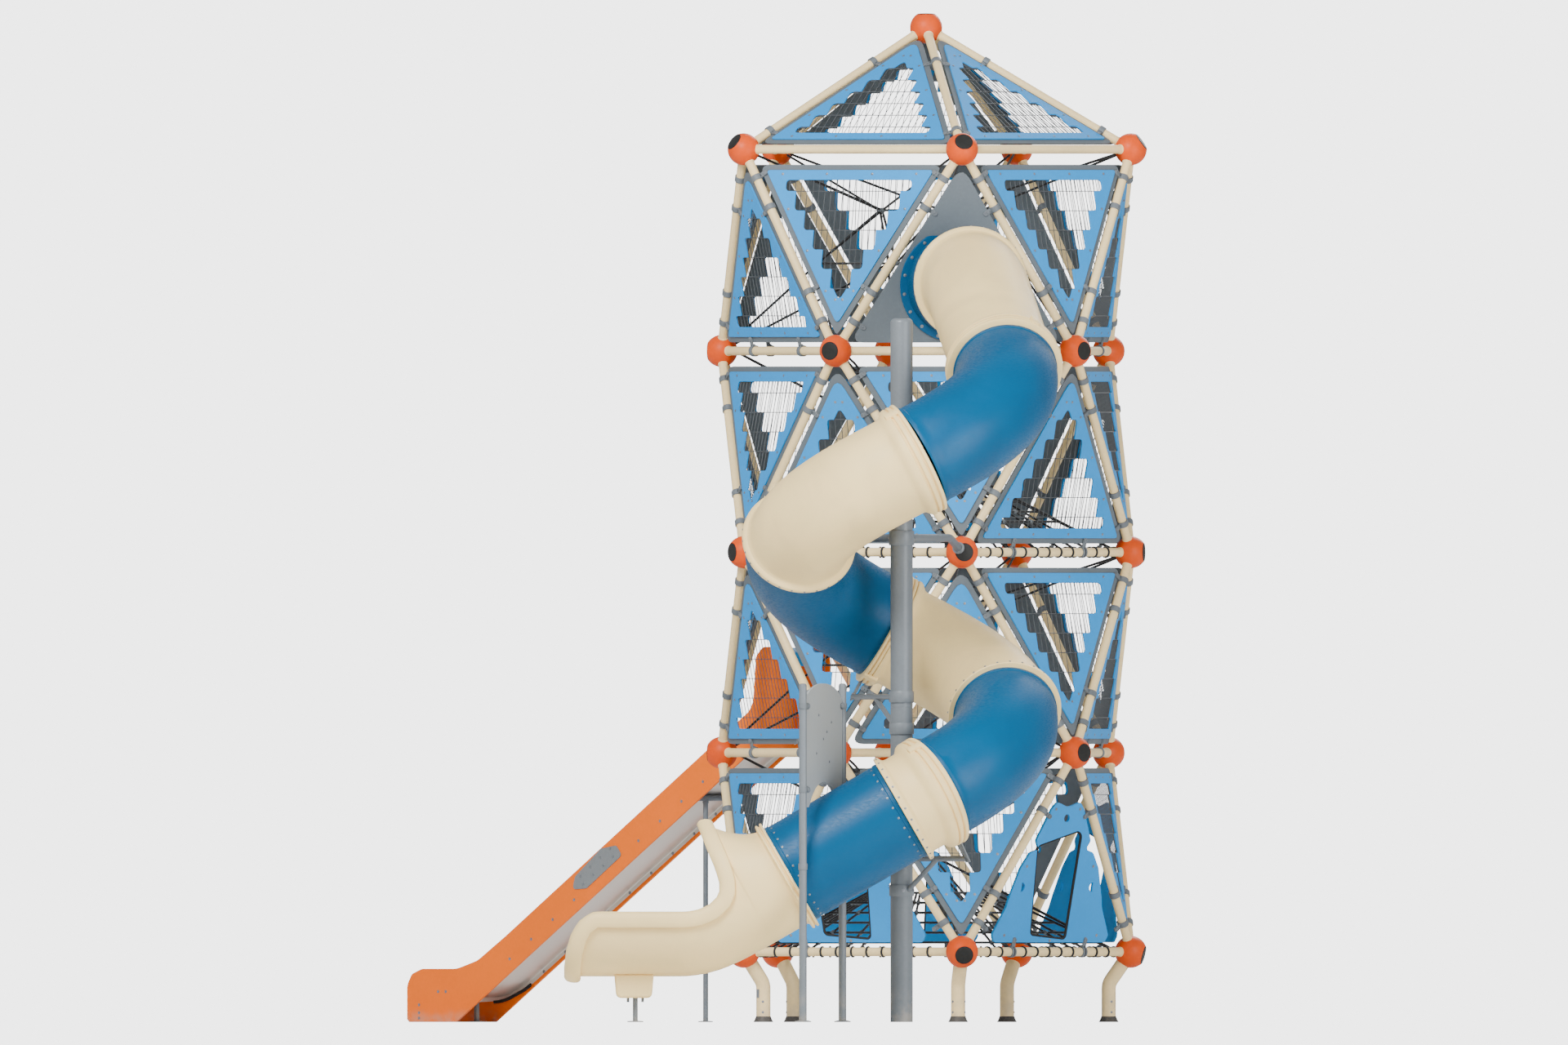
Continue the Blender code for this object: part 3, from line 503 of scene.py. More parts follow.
def outward(point):
    return Vector((point.x - TOWER_CENTRE.x, point.y - TOWER_CENTRE.y, 0)).normalized()


def hub_turn(ring, index):
    half = 0.0 if ring % 2 else 180.0 / SIDES
    return FRONT_TURN + half + index * 360.0 / SIDES


def hub_place(key):
    if key == "apex":
        return TOWER_CENTRE + UP * APEX_HEIGHT
    ring, index = key
    return plan(hub_turn(ring, index), RING_RADIUS, RING_HEIGHTS[ring])


HUBS = [(ring, index) for ring in RING_HEIGHTS for index in range(SIDES)] + ["apex"]


def struts(ring):
    """The sloping tubes that rise from a ring, as lower and upper hubs."""
    found = []
    for index in range(SIDES):
        if ring == 5:
            found.append(((ring, index), "apex"))
        else:
            other = (index - 1) % SIDES if ring % 2 else (index + 1) % SIDES
            found.append(((ring, index), (ring + 1, index)))
            found.append(((ring, index), (ring + 1, other)))
    return found


def leg_knee(index):
    return plan(hub_turn(1, index), LEG_FOOT_REACH, LEG_KNEE_HEIGHT)


def cap_direction(key):
    if key == "apex":
        return UP
    tilt = math.radians(CAP_TILT[key[0]])
    return heading(hub_turn(*key)) * math.cos(tilt) + UP * math.sin(tilt)


def faces_of(level):
    """The faces of a level as a kind, two base hubs and a tip."""
    found = []
    for index in range(SIDES):
        after = (index + 1) % SIDES
        if level == 5:
            found.append(("up", (5, index), (5, after), "apex"))
        else:
            up_tip = (level + 1, index if level % 2 else after)
            down_tip = (level, after if level % 2 else index)
            found.append(("up", (level, index), (level, after), up_tip))
            found.append(("down", (level + 1, index), (level + 1, after), down_tip))
    return found


def face_use(level, kind, tip):
    if level == 4 and kind == "up" and tip == (5, 0):
        return "entry"
    if level == 2 and kind == "up" and tip == (3, 3):
        return "slide"
    if level == 1 and kind == "up":
        return "climb"
    return "mesh"


def face_frame(start, end, tip):
    """A face's base middle as origin, X along the base, Y towards the tip, Z outwards."""
    a, b, c = hub_place(start), hub_place(end), hub_place(tip)
    middle = (a + b) / 2
    y = (c - middle).normalized()
    x = (b - a).normalized()
    z = x.cross(y)
    if z.dot(middle - TOWER_CENTRE) < 0:
        x, z = -x, -z
    return place(middle, Matrix((x, y, z)).transposed()), (b - a).length / 2, (c - middle).length


def mirrored(points):
    return points + [(-u, v) for u, v in reversed(points) if u > 1e-9]


# Frame

# Radii and heights over a ball's flat
HUB_SEAT = [(0.0745, -0.003), (0.0725, -0.0005), (0.0700, 0.0), (0.0690, -0.002), (0.0, -0.002)]
HUB_DISC = [(0.0680, -0.004), (0.0685, 0.001), (0.0655, 0.004), (0.050, 0.0065), (0.026, 0.008), (0.010, 0.0084),
            (0.0, 0.0085)]


def build_hubs():
    ball = Shape()
    caps = Shape()
    profile = [(0.0, -HUB_RADIUS)]
    for step in range(1, 19):
        angle = math.radians(-90 + 8 * step)
        if HUB_RADIUS * math.sin(angle) < CAP_FLAT - 0.004:
            profile.append((HUB_RADIUS * math.cos(angle), HUB_RADIUS * math.sin(angle)))
    profile += [(radius, CAP_FLAT + rise) for radius, rise in HUB_SEAT]
    disc = [(radius, CAP_FLAT + rise) for radius, rise in HUB_DISC]
    for key in HUBS:
        matrix = place(hub_place(key), frame_along(cap_direction(key)))
        ball.add(lathe(profile, 40), matrix)
        caps.add(lathe(disc, 32), matrix)
    make("hub_balls", ball, "orange", "hub_orange", ["apex_hub"], 28)
    make("hub_caps", caps, "black", "hub_orange")


def build_tubes():
    """Straight tubes between the balls, each with a collar ring where it meets a ball."""
    bars = Shape()
    profile = [(-0.002, 0.110), (0.0045, 0.112), (0.0045, 0.121), (0.002, 0.1245), (-0.001, 0.126)]
    collar = lathe([(TUBE_RADIUS + rise, along) for rise, along in profile], 28)
    pairs =[(lower, upper) for ring in RING_HEIGHTS for lower, upper in struts(ring)]
    pairs += [((ring, index), (ring, (index + 1) % SIDES)) for ring in RING_HEIGHTS for index in range(SIDES)]
    for first, second in pairs:
        a, b = hub_place(first), hub_place(second)
        way = (b - a).normalized()
        bars.add(pipe([a + way * 0.09, b - way * 0.09], TUBE_RADIUS, 28))
        for centre, out in ((a, way), (b, -way)):
            bars.add(collar, place(centre, frame_along(out)))
    make("frame_tubes", bars, "beige", "frame_beige", [f"frame_level_{ring}" for ring in RING_HEIGHTS])


FOOT_SKIRT = [(0.050, 0.0), (0.074, 0.0), (0.0735, 0.006), (0.067, 0.014), (0.0585, 0.036), (0.0565, 0.043),
              (0.052, 0.043)]
LEG_BOLT_HEIGHTS = (0.154, 0.074)
PLATE_FACING = Vector((-0.80, -0.60, 0))
PLATE_HEIGHT = 0.215
PLATE_HALF = 0.032
PLATE_SPREAD = range(-18, 19, 6)        # degrees round the leg


def build_legs():
    bolts = Shape()
    feet = Shape()
    for index in range(SIDES):
        top = hub_place((1, index))
        knee = leg_knee(index)
        out = outward(knee)
        start = top + (knee - top).normalized() * 0.085
        shape = Shape()
        path = rounded_path([start, knee, Vector((knee.x, knee.y, 0.004))], 0.12, 8)
        shape.add(pipe(path, LEG_RADIUS, 32))
        make(f"leg_{index + 1}_coat", shape, "beige", "frame_beige", [f"leg_{index + 1}"])
        feet.add(lathe(FOOT_SKIRT, 32), Matrix.Translation((knee.x, knee.y, 0)))
        for height in LEG_BOLT_HEIGHTS:
            for side in (-1, 1):
                direction = (out + out.cross(UP) * side * 1.6).normalized()
                spot = Vector((knee.x, knee.y, height)) + direction * (LEG_RADIUS - 0.001)
                bolts.add(button(0.0065, 0.006), place(spot, frame_along(direction)))
    make("leg_feet", feet, "foot", "steel_grey")
    make("leg_bolts", bolts, "bolt", "steel_grey")
    bent = [(LEG_RADIUS + 0.0002, degrees) for degrees in PLATE_SPREAD]
    bent += [(LEG_RADIUS + 0.0016, degrees) for degrees in PLATE_SPREAD[::-1]]
    rings = []
    for height in (-PLATE_HALF, PLATE_HALF):
        rings.append([(math.sin(math.radians(degrees)) * reach, height, math.cos(math.radians(degrees)) * reach)
                      for reach, degrees in bent])
    knee = leg_knee(4)
    bare = Shape()
    bare.add(loft(rings), place(Vector((knee.x, knee.y, PLATE_HEIGHT)), frame_along(PLATE_FACING)))
    make("leg_plate", bare, "bolt", "steel_grey")


# Panels

def triangle(half, height, insets):
    """A face's triangle set in from its base and sides."""
    base, side = insets
    slope = half / height
    width = half - side * math.hypot(1, slope)
    corner = width - slope * base
    return [(corner, base), (0.0, width / slope), (-corner, base)]


def stepped(half, height, kind, grow=0.0):
    """The window: rows that follow the wires and step in along both sides to a small tip."""
    low = OPENING_BASES[kind] - grow
    slope = half / height
    width = half - (OPENING_SIDE_INSET - grow) * math.hypot(1, slope)
    points = []
    high = OPENING_BASES[kind] + FIRST_ROW
    for row in range(OPENING_ROWS):
        points += [(width - slope * high, low), (width - slope * high, high)]
        low = high
        high = low + WIRE_PITCH
    return mirrored(points + [(TIP_WIDTH / 2 + grow * 0.7, low), (0.0, low + TIP_HEIGHT + grow)])


def window_radii(outline, radius):
    """Outer corners of the steps are rounded, inner ones stay nearly sharp."""
    radii = []
    count = len(outline)
    for index in range(count):
        before = Vector(outline[index]) - Vector(outline[index - 1])
        after = Vector(outline[(index + 1) % count]) - Vector(outline[index])
        radii.append(radius if before.x * after.y - before.y * after.x > 0 else 0.006)
    return radii


def wires(half, height, kind):
    """Upright wires every 50 mm and level ones at the row ends, inside the blue sheet's edge."""
    base = OPENING_BASES[kind] - 0.02
    slope = half / height
    width = half - (OPENING_SIDE_INSET - 0.035) * math.hypot(1, slope)
    level = SHEET_JOINT
    found = []
    count = int((width - slope * base) / WIRE_SPACING)
    for step in range(-count, count + 1):
        x = step * WIRE_SPACING
        top = min((width - abs(x)) / slope, height - 0.36)
        if top > base + 0.02:
            found.append((Vector((x, base, level)), Vector((x, top, level))))
    rise = OPENING_BASES[kind] + FIRST_ROW
    for row in range(OPENING_ROWS):
        reach = width - slope * rise
        if reach > 0.03:
            found.append((Vector((-reach, rise, level + 0.003)), Vector((reach, rise, level + 0.003))))
        rise += WIRE_PITCH
    return found


def panel_bolts(half, height, kind):
    """Bolt places on a blue sheet: along the base, along the sides and a pair near the tip."""
    base, side = BLUE_INSETS[kind]
    slope = half / height
    line = base + 0.030
    width = half - (side + 0.030) * math.hypot(1, slope)
    spots = [(x, line) for x in (-0.56, -0.19, 0.19, 0.56)]
    for rise in (0.30, 0.62, 0.93):
        spots += [(sign * (width - slope * (base + rise)), base + rise) for sign in (-1, 1)]
    spots += [(-0.030, height - 0.39), (0.030, height - 0.39)]
    return spots


CLIMB_OUTLINE = [(0.60, 0.075), (0.63, 0.13), (0.52, 0.34), (0.50, 0.42), (0.42, 0.65), (0.34, 0.766),
                 (0.27, 0.785), (0.267, 0.81), (0.296, 0.855), (0.175, 1.10), (0.124, 1.155), (0.0, 1.113)]
CLIMB_RADII = [0.03, 0.04, 0.06, 0.05, 0.08, 0.05, 0.02, 0.02, 0.03, 0.05, 0.04, 0.10]
CLIMB_BOLTS = [(-0.50, 0.13), (0.0, 0.09), (0.50, 0.13), (-0.36, 0.66), (0.36, 0.66), (-0.13, 1.10),
               (0.13, 1.10)]
CLIMB_HOLE = [(-0.20, 0.13), (0.15, 0.10), (0.17, 0.12), (0.19, 0.90), (0.145, 0.93), (-0.255, 0.82),
              (-0.27, 0.79), (-0.22, 0.15)]


def disc_outline(centre, radius, start=0.0, end=360.0, steps=20):
    found = []
    for step in range(steps):
        angle = math.radians(start + (end - start) * step / (steps - (end - start < 360)))
        found.append((centre[0] + radius * math.cos(angle), centre[1] + radius * math.sin(angle)))
    return found


def build_panels():
    for level in RING_HEIGHTS:
        grey = Shape()
        blue = Shape()
        mesh = Shape()
        bolts = Shape()
        rims = Shape()
        for kind, start, end, tip in faces_of(level):
            matrix, half, height = face_frame(start, end, tip)
            use = face_use(level, kind, tip)
            if use == "slide":
                continue
            if use == "climb":
                build_climb_plate(blue, rims, bolts, matrix)
                continue
            tip_radius = 0.085 if kind == "up" else 0.025
            sheet = soften(triangle(half, height, GREY_INSETS[kind]), [0.06, tip_radius, 0.06], 5)
            if use == "entry":
                grey.add(plate([sheet], GREY_BACK, SHEET_JOINT + 0.012, 0.002), matrix)
                continue
            wide = stepped(half, height, kind, 0.022)
            wide = soften(wide, window_radii(wide, 0.035))
            grey.add(plate([sheet, wide], GREY_BACK, SHEET_JOINT, 0.0015), matrix)
            tip_radius = 0.060 if kind == "up" else 0.030
            front = soften(triangle(half, height, BLUE_INSETS[kind]), [0.02, tip_radius, 0.02], 4)
            window = stepped(half, height, kind)
            window = soften(window, window_radii(window, 0.034))
            blue.add(plate([front, window], SHEET_JOINT + 0.0002, BLUE_FRONT, 0.002), matrix)
            for low, high in wires(half, height, kind):
                mesh.add(pipe([low, high], 0.0028, 6), matrix)
            for spot in panel_bolts(half, height, kind):
                bolts.add(button(0.0075, 0.005), matrix @ Matrix.Translation((*spot, BLUE_FRONT - 0.0002)))
        name = f"level_{level}" if level < 5 else "roof"
        make(name + "_blue_sheets", blue, "panel_blue", "panel_blue", [name + "_panels"])
        make(name + "_grey_sheets", grey, "panel_grey", "panel_blue")
        make(name + "_wires", mesh, "wire", "steel_grey")
        make(name + "_panel_bolts", bolts, "bolt", "steel_grey")
        if rims.bm.verts:
            make(name + "_hole_rims", rims, "rubber_and_shade", "steel_grey")


def build_climb_plate(blue, rims, bolts, matrix):
    outline = soften(mirrored(CLIMB_OUTLINE), CLIMB_RADII + CLIMB_RADII[:-1][::-1], 4)
    hole = soften(CLIMB_HOLE, 0.045, 5)
    left_grip = disc_outline((-0.385, 0.50), 0.036, -90, 90, 10)
    right_grip = disc_outline((0.385, 0.50), 0.036, 90, 270, 10)
    top_hole = disc_outline((0.0, 1.03), 0.030)
    outlines = [outline, hole, left_grip, right_grip, top_hole]
    blue.add(plate(outlines, GREY_BACK, BLUE_FRONT - 0.004, 0.002), matrix)
    middle = (GREY_BACK + BLUE_FRONT) / 2
    rims.add(rounded_ring([Vector((u, v, middle)) for u, v in hole], 0.011, 8), matrix)
    for spot in CLIMB_BOLTS:
        bolts.add(button(0.0085, 0.006), matrix @ Matrix.Translation((*spot, BLUE_FRONT - 0.0042)))


def rounded_ring(points, radius, sides):
    """A round bar along a closed path."""
    count = len(points)
    side = UP
    rings = []
    for index in range(count):
        way = (points[(index + 1) % count] - points[index - 1]).normalized()
        ring, side = circle(points[index], way, radius, sides, side)
        rings.append(ring)
    return loft(rings, closed=True)


def clamp(reach):
    """A cast clamp in a face's frame: Z along the tube, X into the panel, Y outwards."""
    shape = Shape()
    inner = TUBE_RADIUS + 0.0004
    band = [(inner, -0.021), (inner + 0.006, -0.023), (inner + 0.009, -0.019), (inner + 0.009, 0.019),
            (inner + 0.006, 0.023), (inner, 0.021)]
    shape.add(lathe(band, 20))
    ear_outline = [(-0.014, -0.017), (0.014, -0.017), (0.014, 0.017), (-0.014, 0.017)]
    ear = plate([soften(ear_outline, 0.005, 2)], 0.036, 0.052, 0.002)
    turn = Matrix(((0, 0, 1), (1, 0, 0), (0, 1, 0))).to_4x4()
    shape.add(ear, Matrix.Translation((0, 0.006, 0)) @ turn)
    arm = [(0.020, -0.016), (reach - 0.01, -0.019), (reach + 0.02, -0.015), (reach + 0.024, 0.0),
           (reach + 0.02, 0.015), (reach - 0.01, 0.019), (0.020, 0.016)]
    lay = Matrix(((1, 0, 0), (0, 0, 1), (0, -1, 0))).to_4x4()
    shape.add(plate([soften(arm, 0.008, 3)], SHEET_JOINT, SHEET_JOINT + 0.013, 0.003), lay)
    knob = [(0.019, 0.010), (0.019, 0.017), (0.016, 0.021), (0.009, 0.021), (0.008, 0.018), (0.0, 0.018)]
    upright = Matrix.Rotation(-math.pi / 2, 4, "X")
    shape.add(lathe(knob, 16), Matrix.Translation((reach, SHEET_JOINT, 0)) @ upright)
    return shape.bm


def build_clamps():
    cast = Shape()
    kinds = {inset: clamp(inset + 0.026) for inset in (0.058, 0.067, 0.120)}
    for level in RING_HEIGHTS:
        for kind, start, end, tip in faces_of(level):
            use = face_use(level, kind, tip)
            if use == "slide":
                continue
            matrix = face_frame(start, end, tip)[0]
            out = matrix.col[2].to_3d()
            base, side = GREY_INSETS[kind]
            edges = [(start, tip, side, (0.145, 0.71)), (end, tip, side, (0.145, 0.71))]
            if kind == "up" and level < 5:
                edges.append((start, end, base, (0.29, 0.71)))
            middle = (hub_place(start) + hub_place(end) + hub_place(tip)) / 3
            for first, second, inset, shares in edges:
                a, b = hub_place(first), hub_place(second)
                axis = (b - a).normalized()
                inward = out.cross(axis)
                if inward.dot(middle - a) < 0:
                    axis = -axis
                    inward = -inward
                rotation = Matrix((inward, out, inward.cross(out))).transposed()
                for share in shares:
                    cast.add(kinds[inset], place(a.lerp(b, share), rotation))
    make("panel_clamps", cast, "clamp", "steel_grey")


# Tube slide

def slide_start():
    angle = math.radians(FRONT_TURN)
    first = Vector((math.cos(angle), math.sin(angle), 0)) * HELIX_RADIUS
    return first - heading(FRONT_TURN) * (ENTRY_LENGTH + ELBOW_LENGTH) + UP * ENTRY_HEIGHT


COURSE = [
    # name, finish, plan length, turn, slopes as (share of the length, at its start, at its end)
    ("tube_elbow", "tube_beige", ELBOW_LENGTH, 0.0, [(0.3, 0.0, HELIX_SLOPE), (0.7, HELIX_SLOPE, HELIX_SLOPE)]),
    ("tube_bend_1", "tube_blue", QUARTER, 90.0, [(1.0, HELIX_SLOPE, HELIX_SLOPE)]),
    ("tube_bend_2", "tube_beige", QUARTER, 90.0, [(1.0, HELIX_SLOPE, HELIX_SLOPE)]),
    ("tube_bend_3", "tube_blue", QUARTER, 90.0, [(1.0, HELIX_SLOPE, HELIX_SLOPE)]),
    ("tube_bend_4", "tube_beige", QUARTER, 90.0, [(1.0, HELIX_SLOPE, HELIX_SLOPE)]),
    ("tube_bend_5", "tube_blue", QUARTER * 80 / 90, 80.0, [(1.0, HELIX_SLOPE, HELIX_SLOPE)]),
    ("tube_short", "tube_beige", QUARTER * 20 / 90, 20.0, [(1.0, HELIX_SLOPE, EXIT_SLOPE)]),
    ("tube_straight", "tube_blue", STRAIGHT_LENGTH, 0.0, [(1.0, EXIT_SLOPE, EXIT_SLOPE)]),
    ("exit_chute", "tube_beige", CHUTE_LENGTH, 0.0,
     [(0.325, EXIT_SLOPE, EXIT_SLOPE), (0.1875, EXIT_SLOPE, 0.0), (0.4875, 0.0, 0.0)]),
]
FINE_STEPS = 80


def slope_at(slopes, share):
    passed = 0.0
    for part, start, end in slopes:
        if share < passed + part:
            return start + (end - start) * (share - passed) / part
        passed += part
    return slopes[-1][2]


def march(start, turn, length, bend, slopes):
    """Points along a section, which bends clockwise seen from above."""
    point = start.copy()
    points = [start]
    for index in range(FINE_STEPS):
        share = (index + 0.5) / FINE_STEPS
        fall = math.tan(math.radians(slope_at(slopes, share)))
        point = point + (heading(turn - bend * share) - UP * fall) * (length / FINE_STEPS)
        points.append(point.copy())
    return points


def tube_direction(turn, slope):
    angle = math.radians(slope)
    return heading(turn) * math.cos(angle) - UP * math.sin(angle)


def sections():
    """Each section's name, finish, fine points and end directions."""
    point = slide_start() + heading(FRONT_TURN) * ENTRY_LENGTH
    turn = FRONT_TURN
    for name, finish, length, bend, slopes in COURSE:
        points = march(point, turn, length, bend, slopes)
        first = tube_direction(turn, slopes[0][1])
        turn -= bend
        yield name, finish, points, first, tube_direction(turn, slopes[-1][2])
        point = points[-1]


# How far each kind of end stands over the barrel, by distance from the joint
BELL = [(0.0, 0.044), (0.004, 0.052), (0.010, 0.054), (0.022, 0.054), (0.027, 0.048), (0.030, 0.034),
        (0.036, 0.034), (0.039, 0.048), (0.044, 0.052), (0.060, 0.052), (0.065, 0.048), (0.068, 0.034),
        (0.074, 0.034), (0.077, 0.047), (0.082, 0.051), (0.100, 0.050), (0.120, 0.040), (0.138, 0.019),
        (0.150, 0.006), (0.165, 0.0)]
RIM = [(0.0, 0.040), (0.004, 0.044), (0.028, 0.044), (0.034, 0.040), (0.040, 0.030), (0.046, 0.014),
       (0.056, 0.005), (0.070, 0.0)]
SPIGOT = [(0.0, 0.004), (0.004, 0.006), (0.030, 0.006), (0.036, 0.0)]
CHUTE_COLLAR = [(0.0, -0.003), (0.0, 0.046), (0.004, 0.053), (0.010, 0.054), (0.016, 0.053), (0.021, 0.046),
                (0.025, 0.034), (0.030, 0.034), (0.034, 0.046), (0.039, 0.053), (0.045, 0.054),
                (0.051, 0.053), (0.056, 0.044), (0.060, 0.012), (0.072, 0.0), (0.072, -0.003)]


def way_along(points):
    """Distances along a fine path."""
    passed = [0.0]
    for a, b in zip(points, points[1:]):
        passed.append(passed[-1] + (b - a).length)
    return passed


def point_at(points, passed, distance):
    """A point and a direction at a distance along a fine path."""
    index = 1
    while index < len(points) - 1 and passed[index] < distance:
        index += 1
    share = (distance - passed[index - 1]) / (passed[index] - passed[index - 1])
    low = max(index - 3, 0)
    high = min(index + 2, len(points) - 1)
    return points[index - 1].lerp(points[index], share), (points[high] - points[low]).normalized()


def swell_at(profile, distance):
    for (near, low), (far, high) in zip(profile, profile[1:]):
        if near <= distance <= far:
            return low + (high - low) * (distance - near) / (far - near)
    return 0.0


def barrel_ring(point, way, radius, sides=64):
    """A ring whose first point is always the level side, so that sections line up."""
    return circle(point, way, radius, sides, way.cross(UP))[0]


RING_REACH = 0.045      # about how far apart a barrel's rings are


def tube_section(points, start_profile, end_profile, gap=0.0006):
    """A section as a closed skin, outside and inside."""
    passed = way_along(points)
    total = passed[-1]
    places = [distance + gap for distance, _ in start_profile]
    places += [total - gap - distance for distance, _ in end_profile]
    first = start_profile[-1][0] + gap
    last = total - gap - end_profile[-1][0]
    count = max(2, int((last - first) / RING_REACH))
    places += [first + (last - first) * step / count for step in range(1, count)]
    outer = []
    for distance in sorted(places):
        point, way = point_at(points, passed, distance)
        swell = swell_at(start_profile, distance - gap) + swell_at(end_profile, total - gap - distance)
        outer.append(barrel_ring(point, way, BARREL_RADIUS + swell))
    inner = []
    count = max(3, int(total / RING_REACH))
    for step in range(count, -1, -1):
        point, way = point_at(points, passed, gap + (total - 2 * gap) * step / count)
        inner.append(barrel_ring(point, way, BARREL_RADIUS - WALL))
    return loft(outer + inner, closed=True)


def ring_bolts(bolts, point, way, radius, solid, offset=0.0):
    """Bolts round a barrel, standing on its skin."""
    side = way.cross(UP).normalized()
    up = way.cross(side)
    for step in range(BOLTS_ROUND):
        angle = 2 * math.pi * (step + offset) / BOLTS_ROUND
        out = (side * math.cos(angle) + up * math.sin(angle)).normalized()
        bolts.add(solid, place(point + out * radius, frame_along(out, way)))


LATCH_ANGLES = (-62, 118)
LATCH_WAY = 0.066           # from a bell's joint to its latches
RIM_WAY = 0.020             # from a rim's joint to its bolts
SPIGOT_WAY = 0.050          # from the straight section's ends to its bolts
BOLTS_ROUND = 28


def build_tube_slide():
    small = button(0.0062, 0.006)
    latch = block((-0.030, -0.020, -0.055), (0.030, 0.020, 0.055), 0.006)
    for name, finish, points, first, _ in sections():
        if name == "exit_chute":
            build_chute(points, first)
            continue
        passed = way_along(points)
        total = passed[-1]
        shape = Shape()
        bolts = Shape()
        if finish == "tube_beige":
            bell_below = name == "tube_elbow"
            ends = (RIM, BELL) if bell_below else (BELL, RIM)
            point, way = point_at(points, passed, total - LATCH_WAY if bell_below else LATCH_WAY)
            side = way.cross(UP).normalized()
            up = side.cross(way)
            for angle in LATCH_ANGLES:
                out = side * math.cos(math.radians(angle)) + up * math.sin(math.radians(angle))
                rotation = Matrix((out.cross(way), out, way)).transposed()
                shape.add(latch, place(point + out * (BARREL_RADIUS + 0.048), rotation))
            point, way = point_at(points, passed, RIM_WAY if bell_below else total - RIM_WAY)
            ring_bolts(bolts, point, way, BARREL_RADIUS + 0.0435, small)
        else:
            ends = (SPIGOT, SPIGOT)
            for near in (SPIGOT_WAY, total - SPIGOT_WAY) if name == "tube_straight" else ():
                point, way = point_at(points, passed, near)
                ring_bolts(bolts, point, way, BARREL_RADIUS - 0.0005, small, 0.5)
        shape.add(tube_section(points, *ends))
        make(name + "_moulding", shape, finish, finish, [name])
        if bolts.bm.verts:
            make(name + "_bolts", bolts, "bolt", "steel_grey")


ENTRY_ROWS = (0.0, 0.2, 0.36, 0.47, 0.515, 0.554)
ENTRY_FLANGE = [(0.0, FLANGE_RADIUS - 0.002), (0.002, FLANGE_RADIUS), (0.018, FLANGE_RADIUS),
                (0.022, FLANGE_RADIUS - 0.004), (0.022, BARREL_RADIUS - 0.002), (0.0, BARREL_RADIUS - 0.002)]
ENTRY_BOLTS = 18


def build_entry():
    """The blue stub: a trimmed flange on the entry panel and a level barrel."""
    normal = face_frame((4, 4), (4, 0), (5, 0))[0].col[2].to_3d()
    start = slide_start()
    way = heading(FRONT_TURN)
    face = start + normal * (BLUE_FRONT + 0.0005)
    shape = Shape()
    rings = []
    for radius, distances in ((BARREL_RADIUS, ENTRY_ROWS), (BARREL_RADIUS - WALL, ENTRY_ROWS[::-1])):
        for distance in distances:
            ring = barrel_ring(start + way * distance, way, radius)
            rings.append(project_ring(ring, way, face, normal, distance))
    shape.add(loft(rings, closed=True))
    shape.add(loft([flange_ring(face, normal, height, radius) for height, radius in ENTRY_FLANGE], closed=True))
    make("tube_entry_moulding", shape, "tube_blue", "tube_blue", ["tube_entry"])
    bolts = Shape()
    across = normal.cross(UP).normalized()
    up = across.cross(normal)
    for step in range(ENTRY_BOLTS):
        angle = 2 * math.pi * (step + 0.5) / ENTRY_BOLTS
        out = across * math.cos(angle) + up * math.sin(angle)
        spot = face + normal * 0.0215 + out * (FLANGE_RADIUS - 0.026)
        if spot.z < ENTRY_FLAT_TOP - 0.02:
            bolts.add(hex_bolt(0.009, 0.008), place(spot, frame_along(normal)))
    make("tube_entry_bolts", bolts, "bolt", "steel_grey")


def project_ring(ring, way, face, normal, distance):
    """Keeps a ring's points in front of the entry panel's face."""
    found = []
    for point in ring:
        depth = (point - face).dot(normal)
        found.append(point - way * (depth / way.dot(normal)) if depth < 0 or distance == 0.0 else point)
    return found


def flange_ring(face, normal, height, radius, sides=64):
    across = normal.cross(UP).normalized()
    up = across.cross(normal)
    found = []
    for step in range(sides):
        angle = 2 * math.pi * step / sides
        point = face + normal * height + (across * math.cos(angle) + up * math.sin(angle)) * radius
        if point.z > ENTRY_FLAT_TOP:
            point = point - up * ((point.z - ENTRY_FLAT_TOP) / up.z)
        found.append(point)
    return found


# Exit chute

CHUTE_CLOSED = 0.30             # way along the chute up to which it is a closed hood
CHUTE_HOOD = 0.62               # reach of the hood's lip over the tube's axis
CHUTE_END = 1.605
CHUTE_COLUMNS = 49
CHUTE_OPEN = [(0.30, 180.0), (0.315, 140.0), (0.335, 124.0), (0.36, 112.0), (0.40, 102.0), (0.46, 95.0),
              (0.55, 91.0), (0.66, 90.0), (1.46, 90.0), (1.52, 84.0), (1.56, 74.0), (1.59, 58.0), (1.605, 34.0)]
CHUTE_ROWS = [0.0, 0.04, 0.08, 0.12, 0.16, 0.20, 0.24, 0.27, 0.30, 0.315, 0.335, 0.36, 0.40, 0.46, 0.50, 0.55,
              0.60, 0.66, 0.72, 0.78, 0.84, 0.90, 1.00, 1.10, 1.20, 1.30, 1.38, 1.46, 1.52, 1.56, 1.59, 1.605]


def interpolate(table, value):
    if value <= table[0][0]:
        return table[0][1]
    for (low, first), (high, second) in zip(table, table[1:]):
        if value <= high:
            return first + (second - first) * (value - low) / (high - low)
    return table[-1][1]


def chute_axis(points, along):
    """The chute's axis point and its leaning upright at a way along it."""
    length = points[0].x - points[-1].x
    index = min(max(along / length, 0.0), 1.0) * (len(points) - 1)
    low = min(int(index), len(points) - 2)
    point = points[low].lerp(points[low + 1], index - low)
    if along > length:
        point = point + Vector((length - along, 0, 0))
    lean = math.radians(30.0 * (1 - min(max((along - 0.30) / 0.45, 0.0), 1.0)))
    return point, Vector((-math.sin(lean), 0, math.cos(lean)))


